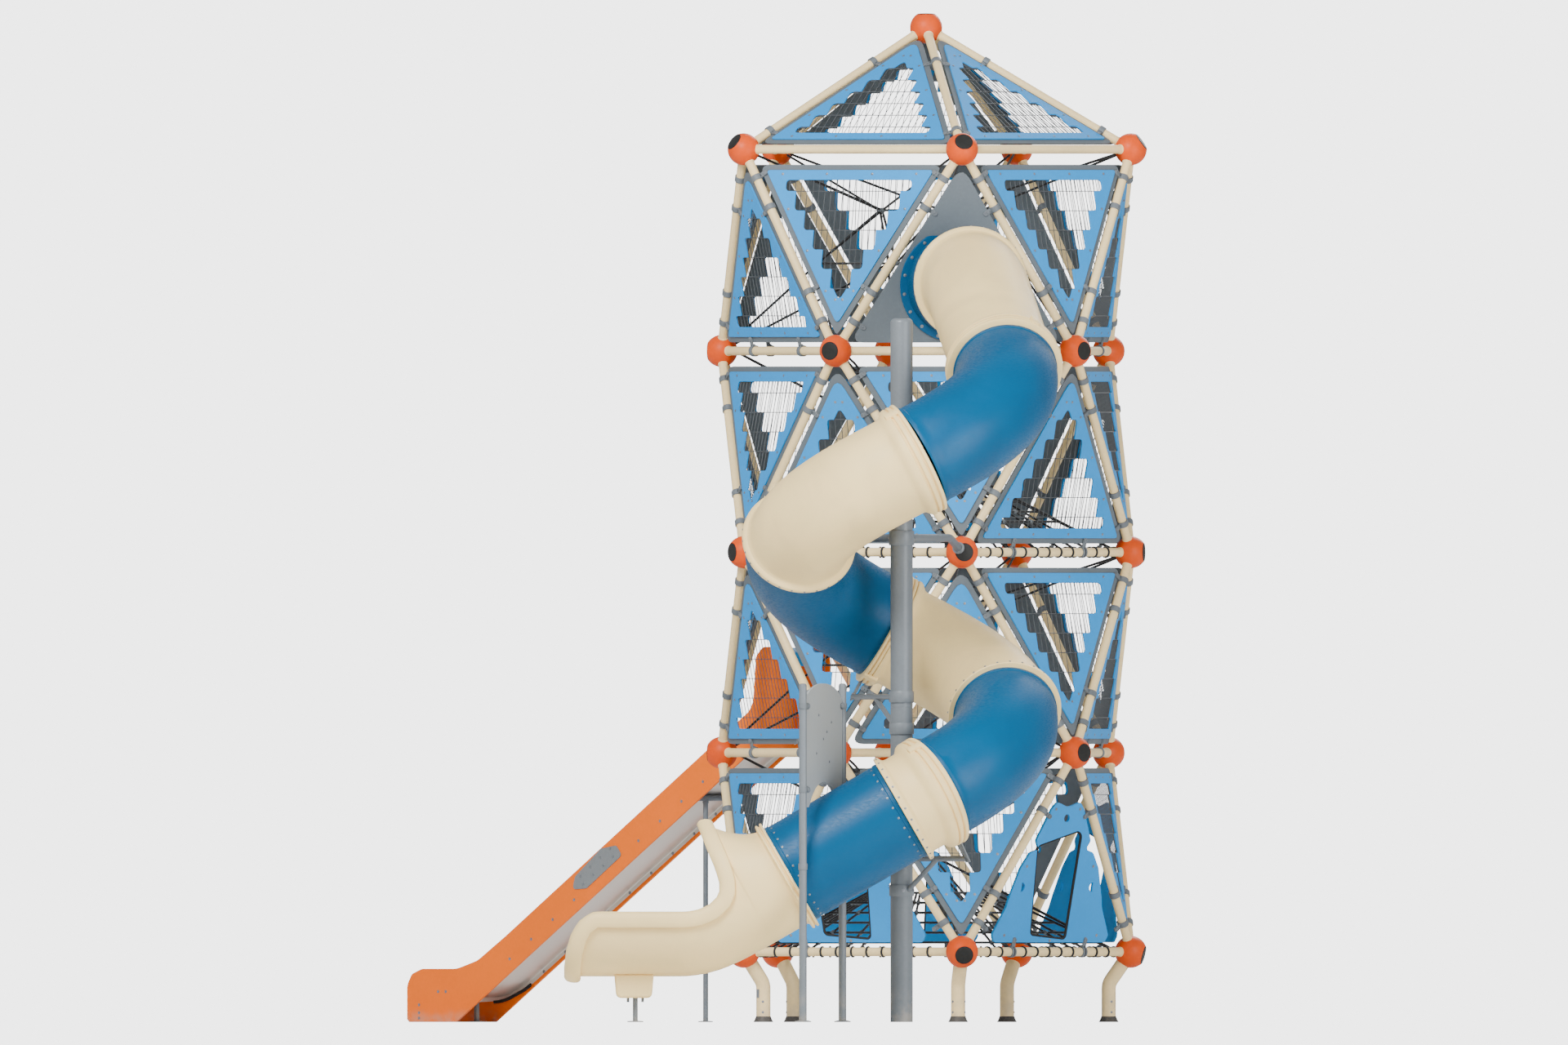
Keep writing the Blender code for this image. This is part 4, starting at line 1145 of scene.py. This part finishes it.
def chute_point(points, along, degrees, radius):
    """A point of the chute's skin: 0 degrees is its lowest line and 180 its highest."""
    centre, up = chute_axis(points, along)
    angle = math.radians(degrees)
    rise = -math.cos(angle)
    hood = min(along / CHUTE_CLOSED, 1.0)
    tall = radius + max(0.0, rise) * (CHUTE_HOOD - BARREL_RADIUS) * hood * hood
    return centre + Vector((0, math.sin(angle) * radius, 0)) + up * rise * tall


def build_chute(points, first):
    shape = Shape()
    rings = []
    for along in CHUTE_ROWS:
        widest = interpolate(CHUTE_OPEN, along) if along > CHUTE_CLOSED else 180.0
        ring = [chute_point(points, along, degrees, BARREL_RADIUS)
                for degrees in np.linspace(-widest, widest, CHUTE_COLUMNS)]
        ring += [chute_point(points, along, degrees, BARREL_RADIUS - WALL)
                 for degrees in np.linspace(widest, -widest, CHUTE_COLUMNS)]
        rings.append(ring)
    shape.add(loft(rings))
    shape.add(loft([barrel_ring(points[0] + first * along, first, BARREL_RADIUS + swell)
                    for along, swell in CHUTE_COLLAR], closed=True))
    edge = [(along, interpolate(CHUTE_OPEN, along)) for along in np.linspace(0.301, CHUTE_END, 90)]
    closing = [(CHUTE_END, degrees) for degrees in np.linspace(34, -34, 12)[1:-1]]
    shape.add(rolled_lip(points, edge + closing + [(along, -degrees) for along, degrees in edge[::-1]]))
    make("exit_chute_moulding", shape, "tube_beige", "tube_beige", ["exit_chute"])


LIP = [(0.006, -0.013), (-0.010, -0.010), (-0.022, 0.004), (-0.026, 0.020), (-0.020, 0.036), (-0.004, 0.046),
       (0.020, 0.049), (0.050, 0.046), (0.075, 0.038), (0.092, 0.024), (0.100, 0.006), (0.100, -0.004)]


def rolled_lip(points, path):
    """The thick rolled edge: a profile of (way into the skin, way out of it) along a closed rim."""
    def skin(along, degrees):
        return chute_point(points, along, degrees, BARREL_RADIUS)

    outline = [skin(*spot) for spot in path]
    rings = []
    for index, (along, degrees) in enumerate(path):
        here = outline[index]
        wide = skin(along, degrees + 0.6) - skin(along, degrees - 0.6)
        long = skin(along + 0.004, degrees) - skin(along - 0.004, degrees)
        out = long.cross(wide).normalized()
        if out.dot(here - chute_axis(points, along)[0]) < 0:
            out = -out
        way = (outline[(index + 1) % len(path)] - outline[index - 1]).normalized()
        into = out.cross(way).normalized()
        rings.append([here + into * across + out * rise for across, rise in LIP])
    return loft(rings, closed=True)


def build_chute_foot():
    """A moulded foot with rounded lower corners, on a post with two small brackets."""
    shape = Shape()
    outline = [(-2.167, 0.36), (-2.152, 0.181), (-1.883, 0.181), (-1.868, 0.36)]
    upright = Matrix(((1, 0, 0), (0, 0, -1), (0, 1, 0))).to_4x4()
    shape.add(plate([soften(outline, [0.0, 0.045, 0.045, 0.0], 6)], -0.12, 0.12, 0.022, 3),
              Matrix.Translation((0, -HELIX_RADIUS, 0)) @ upright)
    make("chute_foot_moulding", shape, "tube_beige", "tube_beige", ["chute_foot"])
    post = Shape()
    ground = Vector((-2.008, -HELIX_RADIUS, 0.0))
    post.add(pipe([ground, ground + UP * 0.20], 0.019, 24))
    disc = [(0.019, 0.0), (0.060, 0.0), (0.060, 0.008), (0.019, 0.010)]
    post.add(lathe(disc, 28), Matrix.Translation(ground))
    bracket = block((-0.010, -0.014, 0.150), (0.010, 0.014, 0.186), 0.002)
    for side in (-0.055, 0.055):
        post.add(bracket, Matrix.Translation(ground + Vector((side, 0, 0))))
    make("chute_post", post, "steel", "steel_grey")


# Mast

def band(radius, height, thickness, sides=40):
    """A clamp ring with rounded rims, centred on its own height."""
    half = height / 2
    return lathe([(radius, -half), (radius + thickness * 0.8, -half), (radius + thickness, -half + 0.004),
                  (radius + thickness, half - 0.004), (radius + thickness * 0.8, half), (radius, half)], sides)


def mast_arm_path(key):
    out = hub_place(key)
    knee = Vector((0, 0, ARM_HEIGHT)).lerp(Vector((out.x, out.y, ARM_HEIGHT)), 0.80)
    way = Vector((knee.x, knee.y, 0)).normalized()
    start = way * (MAST_RADIUS - 0.004) + UP * ARM_HEIGHT
    back = (knee - out).normalized()
    seat = 0.105 if key == ARM_HUBS["left"] else 0.112
    return rounded_path([start, knee, out + back * seat], 0.30, 10), back


def bracket_places():
    """The joints whose flanges the mast's brackets hold."""
    ends = {name: (points[-1], last) for name, _, points, _, last in sections()}
    for name in ("tube_bend_3", "tube_bend_5"):
        centre, way = ends[name]
        down = (way.cross(UP)).cross(way).normalized()
        if down.z > 0:
            down = -down
        yield centre + way * 0.027, way, down


def build_mast():
    mast = Shape()
    groove = MAST_RADIUS - 0.002
    profile = [(MAST_RADIUS, 0.0), (MAST_RADIUS, 2.371), (groove, 2.3725), (groove, 2.3755),
               (MAST_RADIUS, 2.377), (MAST_RADIUS, MAST_HEIGHT - MAST_ROUNDING)]
    for step in range(1, 7):
        angle = math.radians(15 * step)
        profile.append((MAST_RADIUS - MAST_ROUNDING * (1 - math.cos(angle)),
                        MAST_HEIGHT - MAST_ROUNDING * (1 - math.sin(angle))))
    profile.append((0.0, MAST_HEIGHT))
    mast.add(lathe(profile, 64))
    make("mast_pipe", mast, "steel", "steel_grey", ["mast"])
    arms = Shape()
    bolts = Shape()
    bolt = hex_bolt(0.009, 0.010)
    arms.add(band(MAST_RADIUS, 0.11, 0.012, 56), Matrix.Translation((0, 0, ARM_HEIGHT)))
    for key in ARM_HUBS.values():
        path, back = mast_arm_path(key)
        arms.add(pipe(path, ARM_RADIUS, 28, 0.006))
        arms.add(lathe([(0.031, 0.0), (0.046, 0.004), (0.046, 0.014), (0.031, 0.024)], 28),
                 place(path[-1] + back * 0.004, frame_along(back)))
    make("mast_arm_pipes", arms, "steel", "steel_grey", ["mast_arms"])
    for number, (face, way, down) in enumerate(bracket_places(), start=1):
        bracket = Shape()
        matrix = place(face, Matrix((down.cross(way), down, way)).transposed())
        ears = [(-0.06, BARREL_RADIUS + 0.012), (0.06, BARREL_RADIUS + 0.012), (0.045, 0.60), (-0.045, 0.60)]
        bracket.add(plate([soften(ears, 0.012, 3)], 0.0, 0.010, 0.002), matrix)
        seat = face + down * 0.57 + way * 0.005
        level = Vector((seat.x, seat.y, 0)).normalized()
        top = level * (MAST_RADIUS - 0.004) + UP * seat.z
        foot = top - UP * 0.24
        bracket.add(pipe([top, seat], 0.021, 24))
        bracket.add(pipe([foot, top.lerp(seat, 0.5)], 0.019, 24))
        for spot in (top, foot):
            bracket.add(band(MAST_RADIUS, 0.085, 0.010, 56), Matrix.Translation((0, 0, spot.z)))
            for side in (-1, 1):
                out = (level + level.cross(UP) * side * 0.55).normalized()
                bolts.add(bolt, place(out * (MAST_RADIUS + 0.0095) + UP * spot.z, frame_along(out)))
        for side in (-0.035, 0.035):
            bolts.add(bolt, matrix @ Matrix.Translation((side, BARREL_RADIUS + 0.035, 0.0095)))
        make(f"bracket_{number}_steelwork", bracket, "steel", "steel_grey", [f"flange_bracket_{number}"])
    for side in (-1, 1):
        for turn in (-0.5, 0.0, 0.5):
            out = Vector((math.sin(turn + side * 0.9), math.cos(turn + side * 0.9), 0))
            bolts.add(bolt, place(out * (MAST_RADIUS + 0.0115) + UP * ARM_HEIGHT, frame_along(out)))
    make("mast_bolts", bolts, "bolt", "steel_grey")


# Straight slide

def slide_matrix():
    """X along the slide's plan direction, Y up, Z across it."""
    way = heading(SLIDE_TURN)
    return place(TOWER_CENTRE, Matrix((way, UP, way.cross(UP))).transposed())


def board_low(reach):
    return min(SLIDE_DECK, 0.8128 + SLIDE_GRADE * (3.4817 - reach))


BOARD_OUTLINE = [(4.713, 0.0), (5.204, 0.0), (5.227, 0.02), (5.227, 0.28), (5.178, 0.363), (5.075, 0.402),
                 (4.708, 0.402), (4.49, 0.465), (4.194, 0.650), (1.64, 2.346), (1.60, 2.42), (1.57, 2.76),
                 (1.50, 2.83), (1.28, 2.83), (1.22, 2.77), (1.18, SLIDE_DECK), (1.583, SLIDE_DECK)]
BOARD_RADII = [0.0, 0.01, 0.02, 0.12, 0.05, 0.10, 0.30, 0.25, 0.40, 0.20, 0.10, 0.06, 0.06, 0.06, 0.03, 0.02,
               0.05]


BED_RISE = 0.072            # of the bed over the boards' lower edges


def bed_path():
    sill = SLIDE_DECK + BED_RISE
    corners = [(1.18, 0, sill), (1.56, 0, sill), (1.66, 0, board_low(1.66) + BED_RISE),
               (4.38, 0, board_low(4.38) + BED_RISE), (4.62, 0, 0.195), (5.15, 0, 0.180)]
    return [(point.x, point.z) for point in rounded_path([Vector(corner) for corner in corners], 0.55, 12)]


BED_SHEET = 0.0025


def bed_skin(path, inner):
    """The sheet bed: a shallow dish between the boards with turned-down hems."""
    across = [(-inner, -0.034), (-inner, -0.004), (-inner + 0.004, 0.0), (-inner + 0.05, -0.002), (0.0, -0.004),
              (inner - 0.05, -0.002), (inner - 0.004, 0.0), (inner, -0.004), (inner, -0.034)]
    under = [(u * (1 - BED_SHEET / inner), v - BED_SHEET) for u, v in across]
    rings = []
    for index, (s, z) in enumerate(path):
        before = path[max(index - 1, 0)]
        after = path[min(index + 1, len(path) - 1)]
        way = Vector((after[0] - before[0], after[1] - before[1])).normalized()
        rings.append([Vector((s - way.y * v, z + way.x * v, u)) for u, v in across + under[::-1]])
    return loft(rings)


def build_straight_slide():
    matrix = slide_matrix()
    half = BOARD_THICKNESS / 2
    inner = SLIDE_HALF_WIDTH - half - 0.0004
    bolts = Shape()
    outline = soften(BOARD_OUTLINE, BOARD_RADII, 8)
    for name, side in (("near", -1), ("far", 1)):
        board = Shape()
        middle = side * SLIDE_HALF_WIDTH
        board.add(plate([outline], middle - half, middle + half, 0.003, 2), matrix)
        make(f"slide_board_{name}_sheet", board, "slide_orange", "board_orange", [f"slide_board_{name}"])
        outer_face = middle + side * (half - 0.0003)
        spots = [(4.82, 0.23), (4.90, 0.23), (5.10, 0.13), (5.10, 0.07), (5.10, 0.03)]
        for step in range(11):
            reach = 1.90 + 0.225 * step
            if not 2.98 < reach < 3.36:
                spots.append((reach, board_low(reach) + 0.105))
            seat = (reach + 0.05, board_low(reach + 0.05) + 0.042, side * (inner - 0.0025))
            bolts.add(button(0.0090, 0.006), matrix @ Matrix.Translation(seat) @ facing(-side))
        for spot in spots:
            bolts.add(button(0.0085, 0.005), matrix @ Matrix.Translation((*spot, outer_face)) @ facing(side))
    bed = Shape()
    path = bed_path()
    bed.add(bed_skin(path, inner), matrix)
    make("slide_bed_sheet", bed, "bed", "slide_steel", ["slide_bed"], 40)
    splice = Shape()
    centre = 3.17
    low = board_low(centre) + 0.10
    near_face = -SLIDE_HALF_WIDTH - half
    corners = [(centre + 0.17, low - 0.11), (centre - 0.20, low + 0.14), (centre - 0.14, low + 0.215),
               (centre + 0.02, low + 0.19), (centre + 0.29, low - 0.02), (centre + 0.32, low - 0.12)]
    splice.add(plate([soften(corners, 0.03, 4)], near_face - 0.006, near_face - 0.0003, 0.0015), matrix)
    make("slide_splice_plate", splice, "splice", "steel_grey")
    for start, rise in ((-0.1096, 0.057), (-0.0796, 0.137)):
        for step in range(4):
            along = start + 0.105 * step
            spot = (centre + along, low + rise - along * SLIDE_GRADE, near_face - 0.0058)
            bolts.add(button(0.0075, 0.005), matrix @ Matrix.Translation(spot) @ facing(-1))
    # A black strip just under the bed's lower bend, by the far board: painted shade below the bed's edge, not a
    # part of the slide.
    strip = Shape()
    tail = [(s, z) for s, z in path if 4.16 < s < 4.72]
    lower = [(s - 0.004, z - 0.052) for s, z in tail]
    upper = [(s, z - 0.030) for s, z in tail]
    strip.add(plate([upper + lower[::-1]], inner - 0.016, inner - 0.002), matrix)
    make("slide_bed_shade_strip", strip, "rubber_and_shade", "steel_grey")
    hood = Shape()
    roof = [(1.235, 2.69), (1.30, 2.78), (1.40, 2.815), (1.50, 2.80), (1.565, 2.715)]
    upper = [(s, z + 0.010) for s, z in roof]
    lower = [(s, z - 0.010) for s, z in roof[::-1]]
    hood.add(plate([soften(upper + lower, 0.03, 4)], -inner, inner, 0.002), matrix)
    make("slide_hood_sheet", hood, "panel_blue", "panel_blue", ["slide_hood"])
    rest = Shape()
    height = board_low(SLIDE_POLE_REACH) + BED_RISE - 0.034
    beam = [matrix @ Vector((SLIDE_POLE_REACH, height, across)) for across in (-inner, inner)]
    rest.add(pipe(beam, 0.0235, 24, 0.003))
    foot = matrix @ Vector((SLIDE_POLE_REACH, 0, SLIDE_POLE_OFFSET))
    rest.add(pipe([foot, foot + UP * height], 0.0195, 24))
    disc = [(0.0195, 0.0), (0.055, 0.0), (0.055, 0.007), (0.0195, 0.010)]
    rest.add(lathe(disc, 28), Matrix.Translation(foot))
    rest.add(lathe([(0.0190, -0.03), (0.0235, -0.028), (0.0235, 0.0), (0.0195, 0.0)], 24),
             Matrix.Translation(foot + UP * (height - 0.012)))
    make("slide_rest", rest, "steel", "steel_grey", ["slide_support"])
    post = Shape()
    foot = matrix @ Vector((SLIDE_EXIT_POST_REACH, 0, 0))
    post.add(pipe([foot, foot + UP * 0.172], 0.020, 24))
    post.add(lathe([(0.020, 0.0), (0.055, 0.0), (0.055, 0.007), (0.020, 0.010)], 28), Matrix.Translation(foot))
    make("slide_exit_foot", post, "steel", "steel_grey", ["slide_exit_post"])
    make("slide_bolts", bolts, "bolt", "steel_grey")


# Gantry

STRAIGHT_END_HEIGHT = 1.117             # of the straight tube's axis, over its lower joint
CLIP_LEVELS = (2.383, 1.753)
CLIP_DOME = [(0.025, 0.0), (0.025, 0.008), (0.022, 0.016), (0.014, 0.023), (0.0, 0.026)]
BOARD_BOLTS = [(-0.129, 2.315), (0.197, 2.262), (0.081, 2.190), (-0.010, 2.135), (-0.187, 2.027),
               (0.145, 1.964)]


def build_gantry():
    """Posts in front of the straight tube and behind it, and the board that arches over it."""
    across = GANTRY_SPREAD.normalized()
    r = GANTRY_RADIUS
    half = GANTRY_SPREAD.length - r - 0.0003
    matrix = place(GANTRY_CENTRE, Matrix((across, UP, across.cross(UP))).transposed())
    clips = Shape()
    for name, sign in (("front", -1), ("back", 1)):
        shape = Shape()
        foot = GANTRY_CENTRE + GANTRY_SPREAD * sign
        profile = [(r, 0.0), (r, GANTRY_TOP - 0.018), (r - 0.003, GANTRY_TOP - 0.008),
                   (r - 0.010, GANTRY_TOP - 0.002), (0.0, GANTRY_TOP)]
        shape.add(lathe(profile, 32), Matrix.Translation(foot))
        disc = [(r, 0.0), (0.062, 0.0), (0.062, 0.007), (0.040, 0.012), (r, 0.013)]
        shape.add(lathe(disc, 32), Matrix.Translation(foot))
        height = STRAIGHT_END_HEIGHT + (STRAIGHT_LENGTH + foot.x) * math.tan(math.radians(EXIT_SLOPE))
        start = Vector((foot.x, foot.y, height))
        seat = Vector((foot.x, -HELIX_RADIUS + sign * BARREL_RADIUS, height))
        inward = (seat - start).normalized()
        shape.add(pipe([start, seat], 0.016, 20))
        shape.add(lathe([(0.0, 0.0), (0.034, 0.0), (0.036, 0.003), (0.034, 0.007), (0.016, 0.010)], 24),
                  place(seat, frame_along(-inward)))
        shape.add(band(r, 0.048, 0.006, 32), Matrix.Translation(start))
        make(f"gantry_post_{name}_pipe", shape, "steel", "steel_grey", [f"gantry_post_{name}"])
        for level in CLIP_LEVELS:
            clips.add(band(r, 0.044, 0.005, 32), Matrix.Translation(foot + UP * level))
            near, far = sorted((sign * (half + r), sign * (half - 0.048)))
            low, high = level - 0.021, level + 0.021
            ear = soften([(near, low), (far, low), (far, high), (near, high)], 0.010, 3)
            for face in (1, -1):
                clips.add(plate([ear], *sorted((face * 0.0082, face * 0.0140)), 0.002), matrix)
                spot = Matrix.Translation((sign * (half - 0.031), level, face * 0.0138))
                clips.add(lathe(CLIP_DOME, 24), matrix @ spot @ facing(face))
    make("gantry_clips", clips, "clamp", "steel_grey")
    middle = ARCH_TOP - ARCH_RADIUS
    spring = math.degrees(math.asin((GANTRY_BOARD_LOW - middle) / ARCH_RADIUS))
    outline = [(half, GANTRY_BOARD_LOW)]
    for degrees in range(0, 181, 5):
        angle = math.radians(degrees)
        outline.append((half * math.cos(angle), GANTRY_TOP - GANTRY_BOARD_RISE * (1 - math.sin(angle))))
    outline.append((-half, GANTRY_BOARD_LOW))
    for degrees in np.linspace(180 - spring, spring, 37):
        angle = math.radians(degrees)
        outline.append((ARCH_RADIUS * math.cos(angle), middle + ARCH_RADIUS * math.sin(angle)))
    board = Shape()
    board.add(plate([outline], -0.008, 0.008, 0.003, 2), matrix)
    make("gantry_board_sheet", board, "board", "board_grey", ["gantry_board"])
    bolts = Shape()
    for spot in BOARD_BOLTS:
        for face in (1, -1):
            bolts.add(button(0.0080, 0.006), matrix @ Matrix.Translation((*spot, face * 0.0078)) @ facing(face))
    make("gantry_bolts", bolts, "bolt", "steel_grey")


# Ropes

ROPE_RADIUS = 0.009


def net(ropes, knots, height, outer, inner, rounds, turn, rise=0.45):
    """A net that rises inwards: spokes from the balls, strands between them and rounds, open in the middle."""
    corners = []
    for step in range(rounds + 1):
        share = step / rounds
        centre = TOWER_CENTRE + UP * (height + rise * share)
        reach = outer + (inner - outer) * share
        corners.append([centre + heading(turn + 72 * index) * reach for index in range(SIDES)])
    for loop in corners:
        for index in range(SIDES):
            a, b = loop[index], loop[(index + 1) % SIDES]
            ropes.add(pipe([a, b], ROPE_RADIUS, 8))
    for index in range(SIDES):
        ropes.add(pipe([loop[index] for loop in corners], ROPE_RADIUS, 8))
        for share in (0.25, 0.5, 0.75):
            line = []
            for loop in corners:
                line.append(loop[index].lerp(loop[(index + 1) % SIDES], share))
            ropes.add(pipe(line, ROPE_RADIUS, 8))
            for point, after in zip(line, line[1:]):
                knots.add(lathe([(0.010, -0.020), (0.016, -0.014), (0.016, 0.014), (0.010, 0.020)], 10),
                          place(point, frame_along(after - point)))


def double_rope(ropes, knots, start, end, spread=0.045):
    """Two ropes side by side with a cast connector near each end and one at the middle."""
    way = (end - start).normalized()
    side = way.cross(UP)
    side = side.normalized() if side.length > 0.05 else Vector((1, 0, 0))
    for sign in (-1, 1):
        offset = side * spread * sign / 2
        path = [start, start.lerp(end, 0.06) + offset, start.lerp(end, 0.94) + offset, end]
        ropes.add(pipe(rounded_path(path, 0.05, 3), ROPE_RADIUS, 8))
    reach = spread / 2 + 0.018
    outline = [(-reach, -0.014), (reach, -0.014), (reach, 0.014), (-reach, 0.014)]
    clip = plate([soften(outline, 0.010, 3)], -0.012, 0.012, 0.004)
    rotation = Matrix((side, way.cross(side), way)).transposed()
    for share in (0.10, 0.5, 0.90):
        knots.add(clip, place(start.lerp(end, share), rotation) @ Matrix.Rotation(math.pi / 2, 4, "X"))


def lashing(ropes, ring):
    """Turns of rope round a ring's level tubes, where its net is tied on."""
    angles = np.linspace(0, 2 * math.pi, 17)[:-1]
    loop = [Vector((0.036 * math.cos(angle), 0.036 * math.sin(angle), 0)) for angle in angles]
    turns = rounded_ring(loop, ROPE_RADIUS, 6)
    for index in range(SIDES):
        a, b = hub_place((ring, index)), hub_place((ring, (index + 1) % SIDES))
        for step in range(11):
            ropes.add(turns, place(a.lerp(b, 0.15 + 0.07 * step), frame_along(b - a)))


def web(ropes, knots, level):
    """A net in space: an upper and a lower loop of rope, tied to each other and to the balls round them."""
    base, top = RING_HEIGHTS[level], RING_HEIGHTS[level + 1]
    high = [TOWER_CENTRE + heading(72 * index + 20) * 0.42 + UP * (top - 0.46) for index in range(SIDES)]
    low = [TOWER_CENTRE + heading(72 * index + 56) * 0.82 + UP * (base + 0.66) for index in range(SIDES)]
    ties = []
    for index in range(SIDES):
        ties += [(high[index], high[index - 1]), (low[index], low[index - 1]), (high[index], low[index]),
                 (high[index], low[index - 1])]
        for corner, ring in ((high[index], level + 1), (low[index], level)):
            hubs = [hub_place((ring, other)) for other in range(SIDES)]
            for hub in sorted(hubs, key=lambda spot: (spot - corner).length)[:2]:
                ties.append((corner, hub + (corner - hub).normalized() * 0.10))
    for start, end in ties:
        ropes.add(pipe([start, end], ROPE_RADIUS, 8))
    for corner in high + low:
        knots.add(lathe([(0.0, -0.020), (0.020, -0.014), (0.028, 0.0), (0.020, 0.014), (0.0, 0.020)], 12),
                  Matrix.Translation(corner))


def build_ropes():
    ropes = Shape()
    knots = Shape()
    web(ropes, knots, 4)
    web(ropes, knots, 2)
    net(ropes, knots, RING_HEIGHTS[1] - 0.005, 1.46, 0.50, 6, FRONT_TURN)
    net(ropes, knots, RING_HEIGHTS[3] + 0.005, 1.46, 0.55, 6, FRONT_TURN)
    lashing(ropes, 1)
    lashing(ropes, 3)
    for level in (1, 3):
        for index in range(SIDES):
            start = hub_place((level, index))
            start = start + (TOWER_CENTRE + UP * start.z - start).normalized() * 0.10
            end = hub_place((level + 1, (index + 2) % SIDES))
            end = end + (TOWER_CENTRE + UP * end.z - end).normalized() * 0.10
            double_rope(ropes, knots, start, end)
    make("ropes", ropes, "rope", "steel_grey")
    make("rope_connectors", knots, "clamp", "steel_grey")


build_hubs()
build_tubes()
build_legs()
build_panels()
build_clamps()
build_entry()
build_tube_slide()
build_chute_foot()
build_mast()
build_straight_slide()
build_gantry()
build_ropes()


# Stage

LAMPS = [("key", (-6.0, -13.0, 15.0), 7.0, 5200.0), ("fill", (10.0, -11.0, 5.0), 8.0, 1700.0),
         ("back", (4.0, 16.0, 12.0), 8.0, 1600.0)]


def staged(name, bm, finish):
    mesh = bpy.data.meshes.new(name)
    bm.to_mesh(mesh)
    mesh.materials.append(finish.material)
    obj = bpy.data.objects.new(name, mesh)
    bpy.context.scene.collection.objects.link(obj)
    return obj


def build_stage():
    """A plain pale floor, soft even light and the camera at the photograph's angle."""
    pale = Finish("floor_pale", 0.9)
    pale.fill(pale.shader, {"Base Color": pale.noise(0.8).tint((0.86, 0.86, 0.86), (0.90, 0.90, 0.90))})
    ground = bmesh.new()
    below = Matrix.Translation((0, 0, -0.001))
    bmesh.ops.create_grid(ground, x_segments=1, y_segments=1, size=40, matrix=below)
    staged("floor", ground, pale)
    glow = Finish("backdrop_white", 1.0)
    glow.fill(glow.shader, {"Base Color": (0, 0, 0), "Emission Color": (1, 1, 1), "Emission Strength": 4.0})
    arch = [(70 * math.cos(math.radians(d)), 70 * math.sin(math.radians(d))) for d in range(-75, 76, 15)]
    backdrop = staged("backdrop", lathe([(0.0, -70.0)] + arch + [(0.0, 70.0)], 32), glow)
    backdrop.visible_diffuse = False
    backdrop.visible_glossy = False
    backdrop.visible_transmission = False
    backdrop.visible_shadow = False
    world = bpy.data.worlds.new("studio")
    world.use_nodes = True
    back = world.node_tree.nodes["Background"]
    back.inputs["Color"].default_value = (1.0, 1.0, 1.0, 1.0)
    back.inputs["Strength"].default_value = 0.50
    bpy.context.scene.world = world
    for name, spot, size, power in LAMPS:
        light = bpy.data.lights.new(name, "AREA")
        light.size = size
        light.energy = power
        lamp = bpy.data.objects.new(name, light)
        lamp.location = spot
        lamp.rotation_euler = (Vector((0, 1.5, 3.6)) - Vector(spot)).to_track_quat("-Z", "Y").to_euler()
        bpy.context.scene.collection.objects.link(lamp)
    lens = bpy.data.cameras.new("camera")
    lens.type = "ORTHO"
    lens.ortho_scale = 1920 / 162.4
    camera = bpy.data.objects.new("camera", lens)
    camera.location = (-0.8867, -25.0, 3.768)
    camera.rotation_euler = (math.radians(90), 0, 0)
    bpy.context.scene.collection.objects.link(camera)
    bpy.context.scene.camera = camera


build_stage()
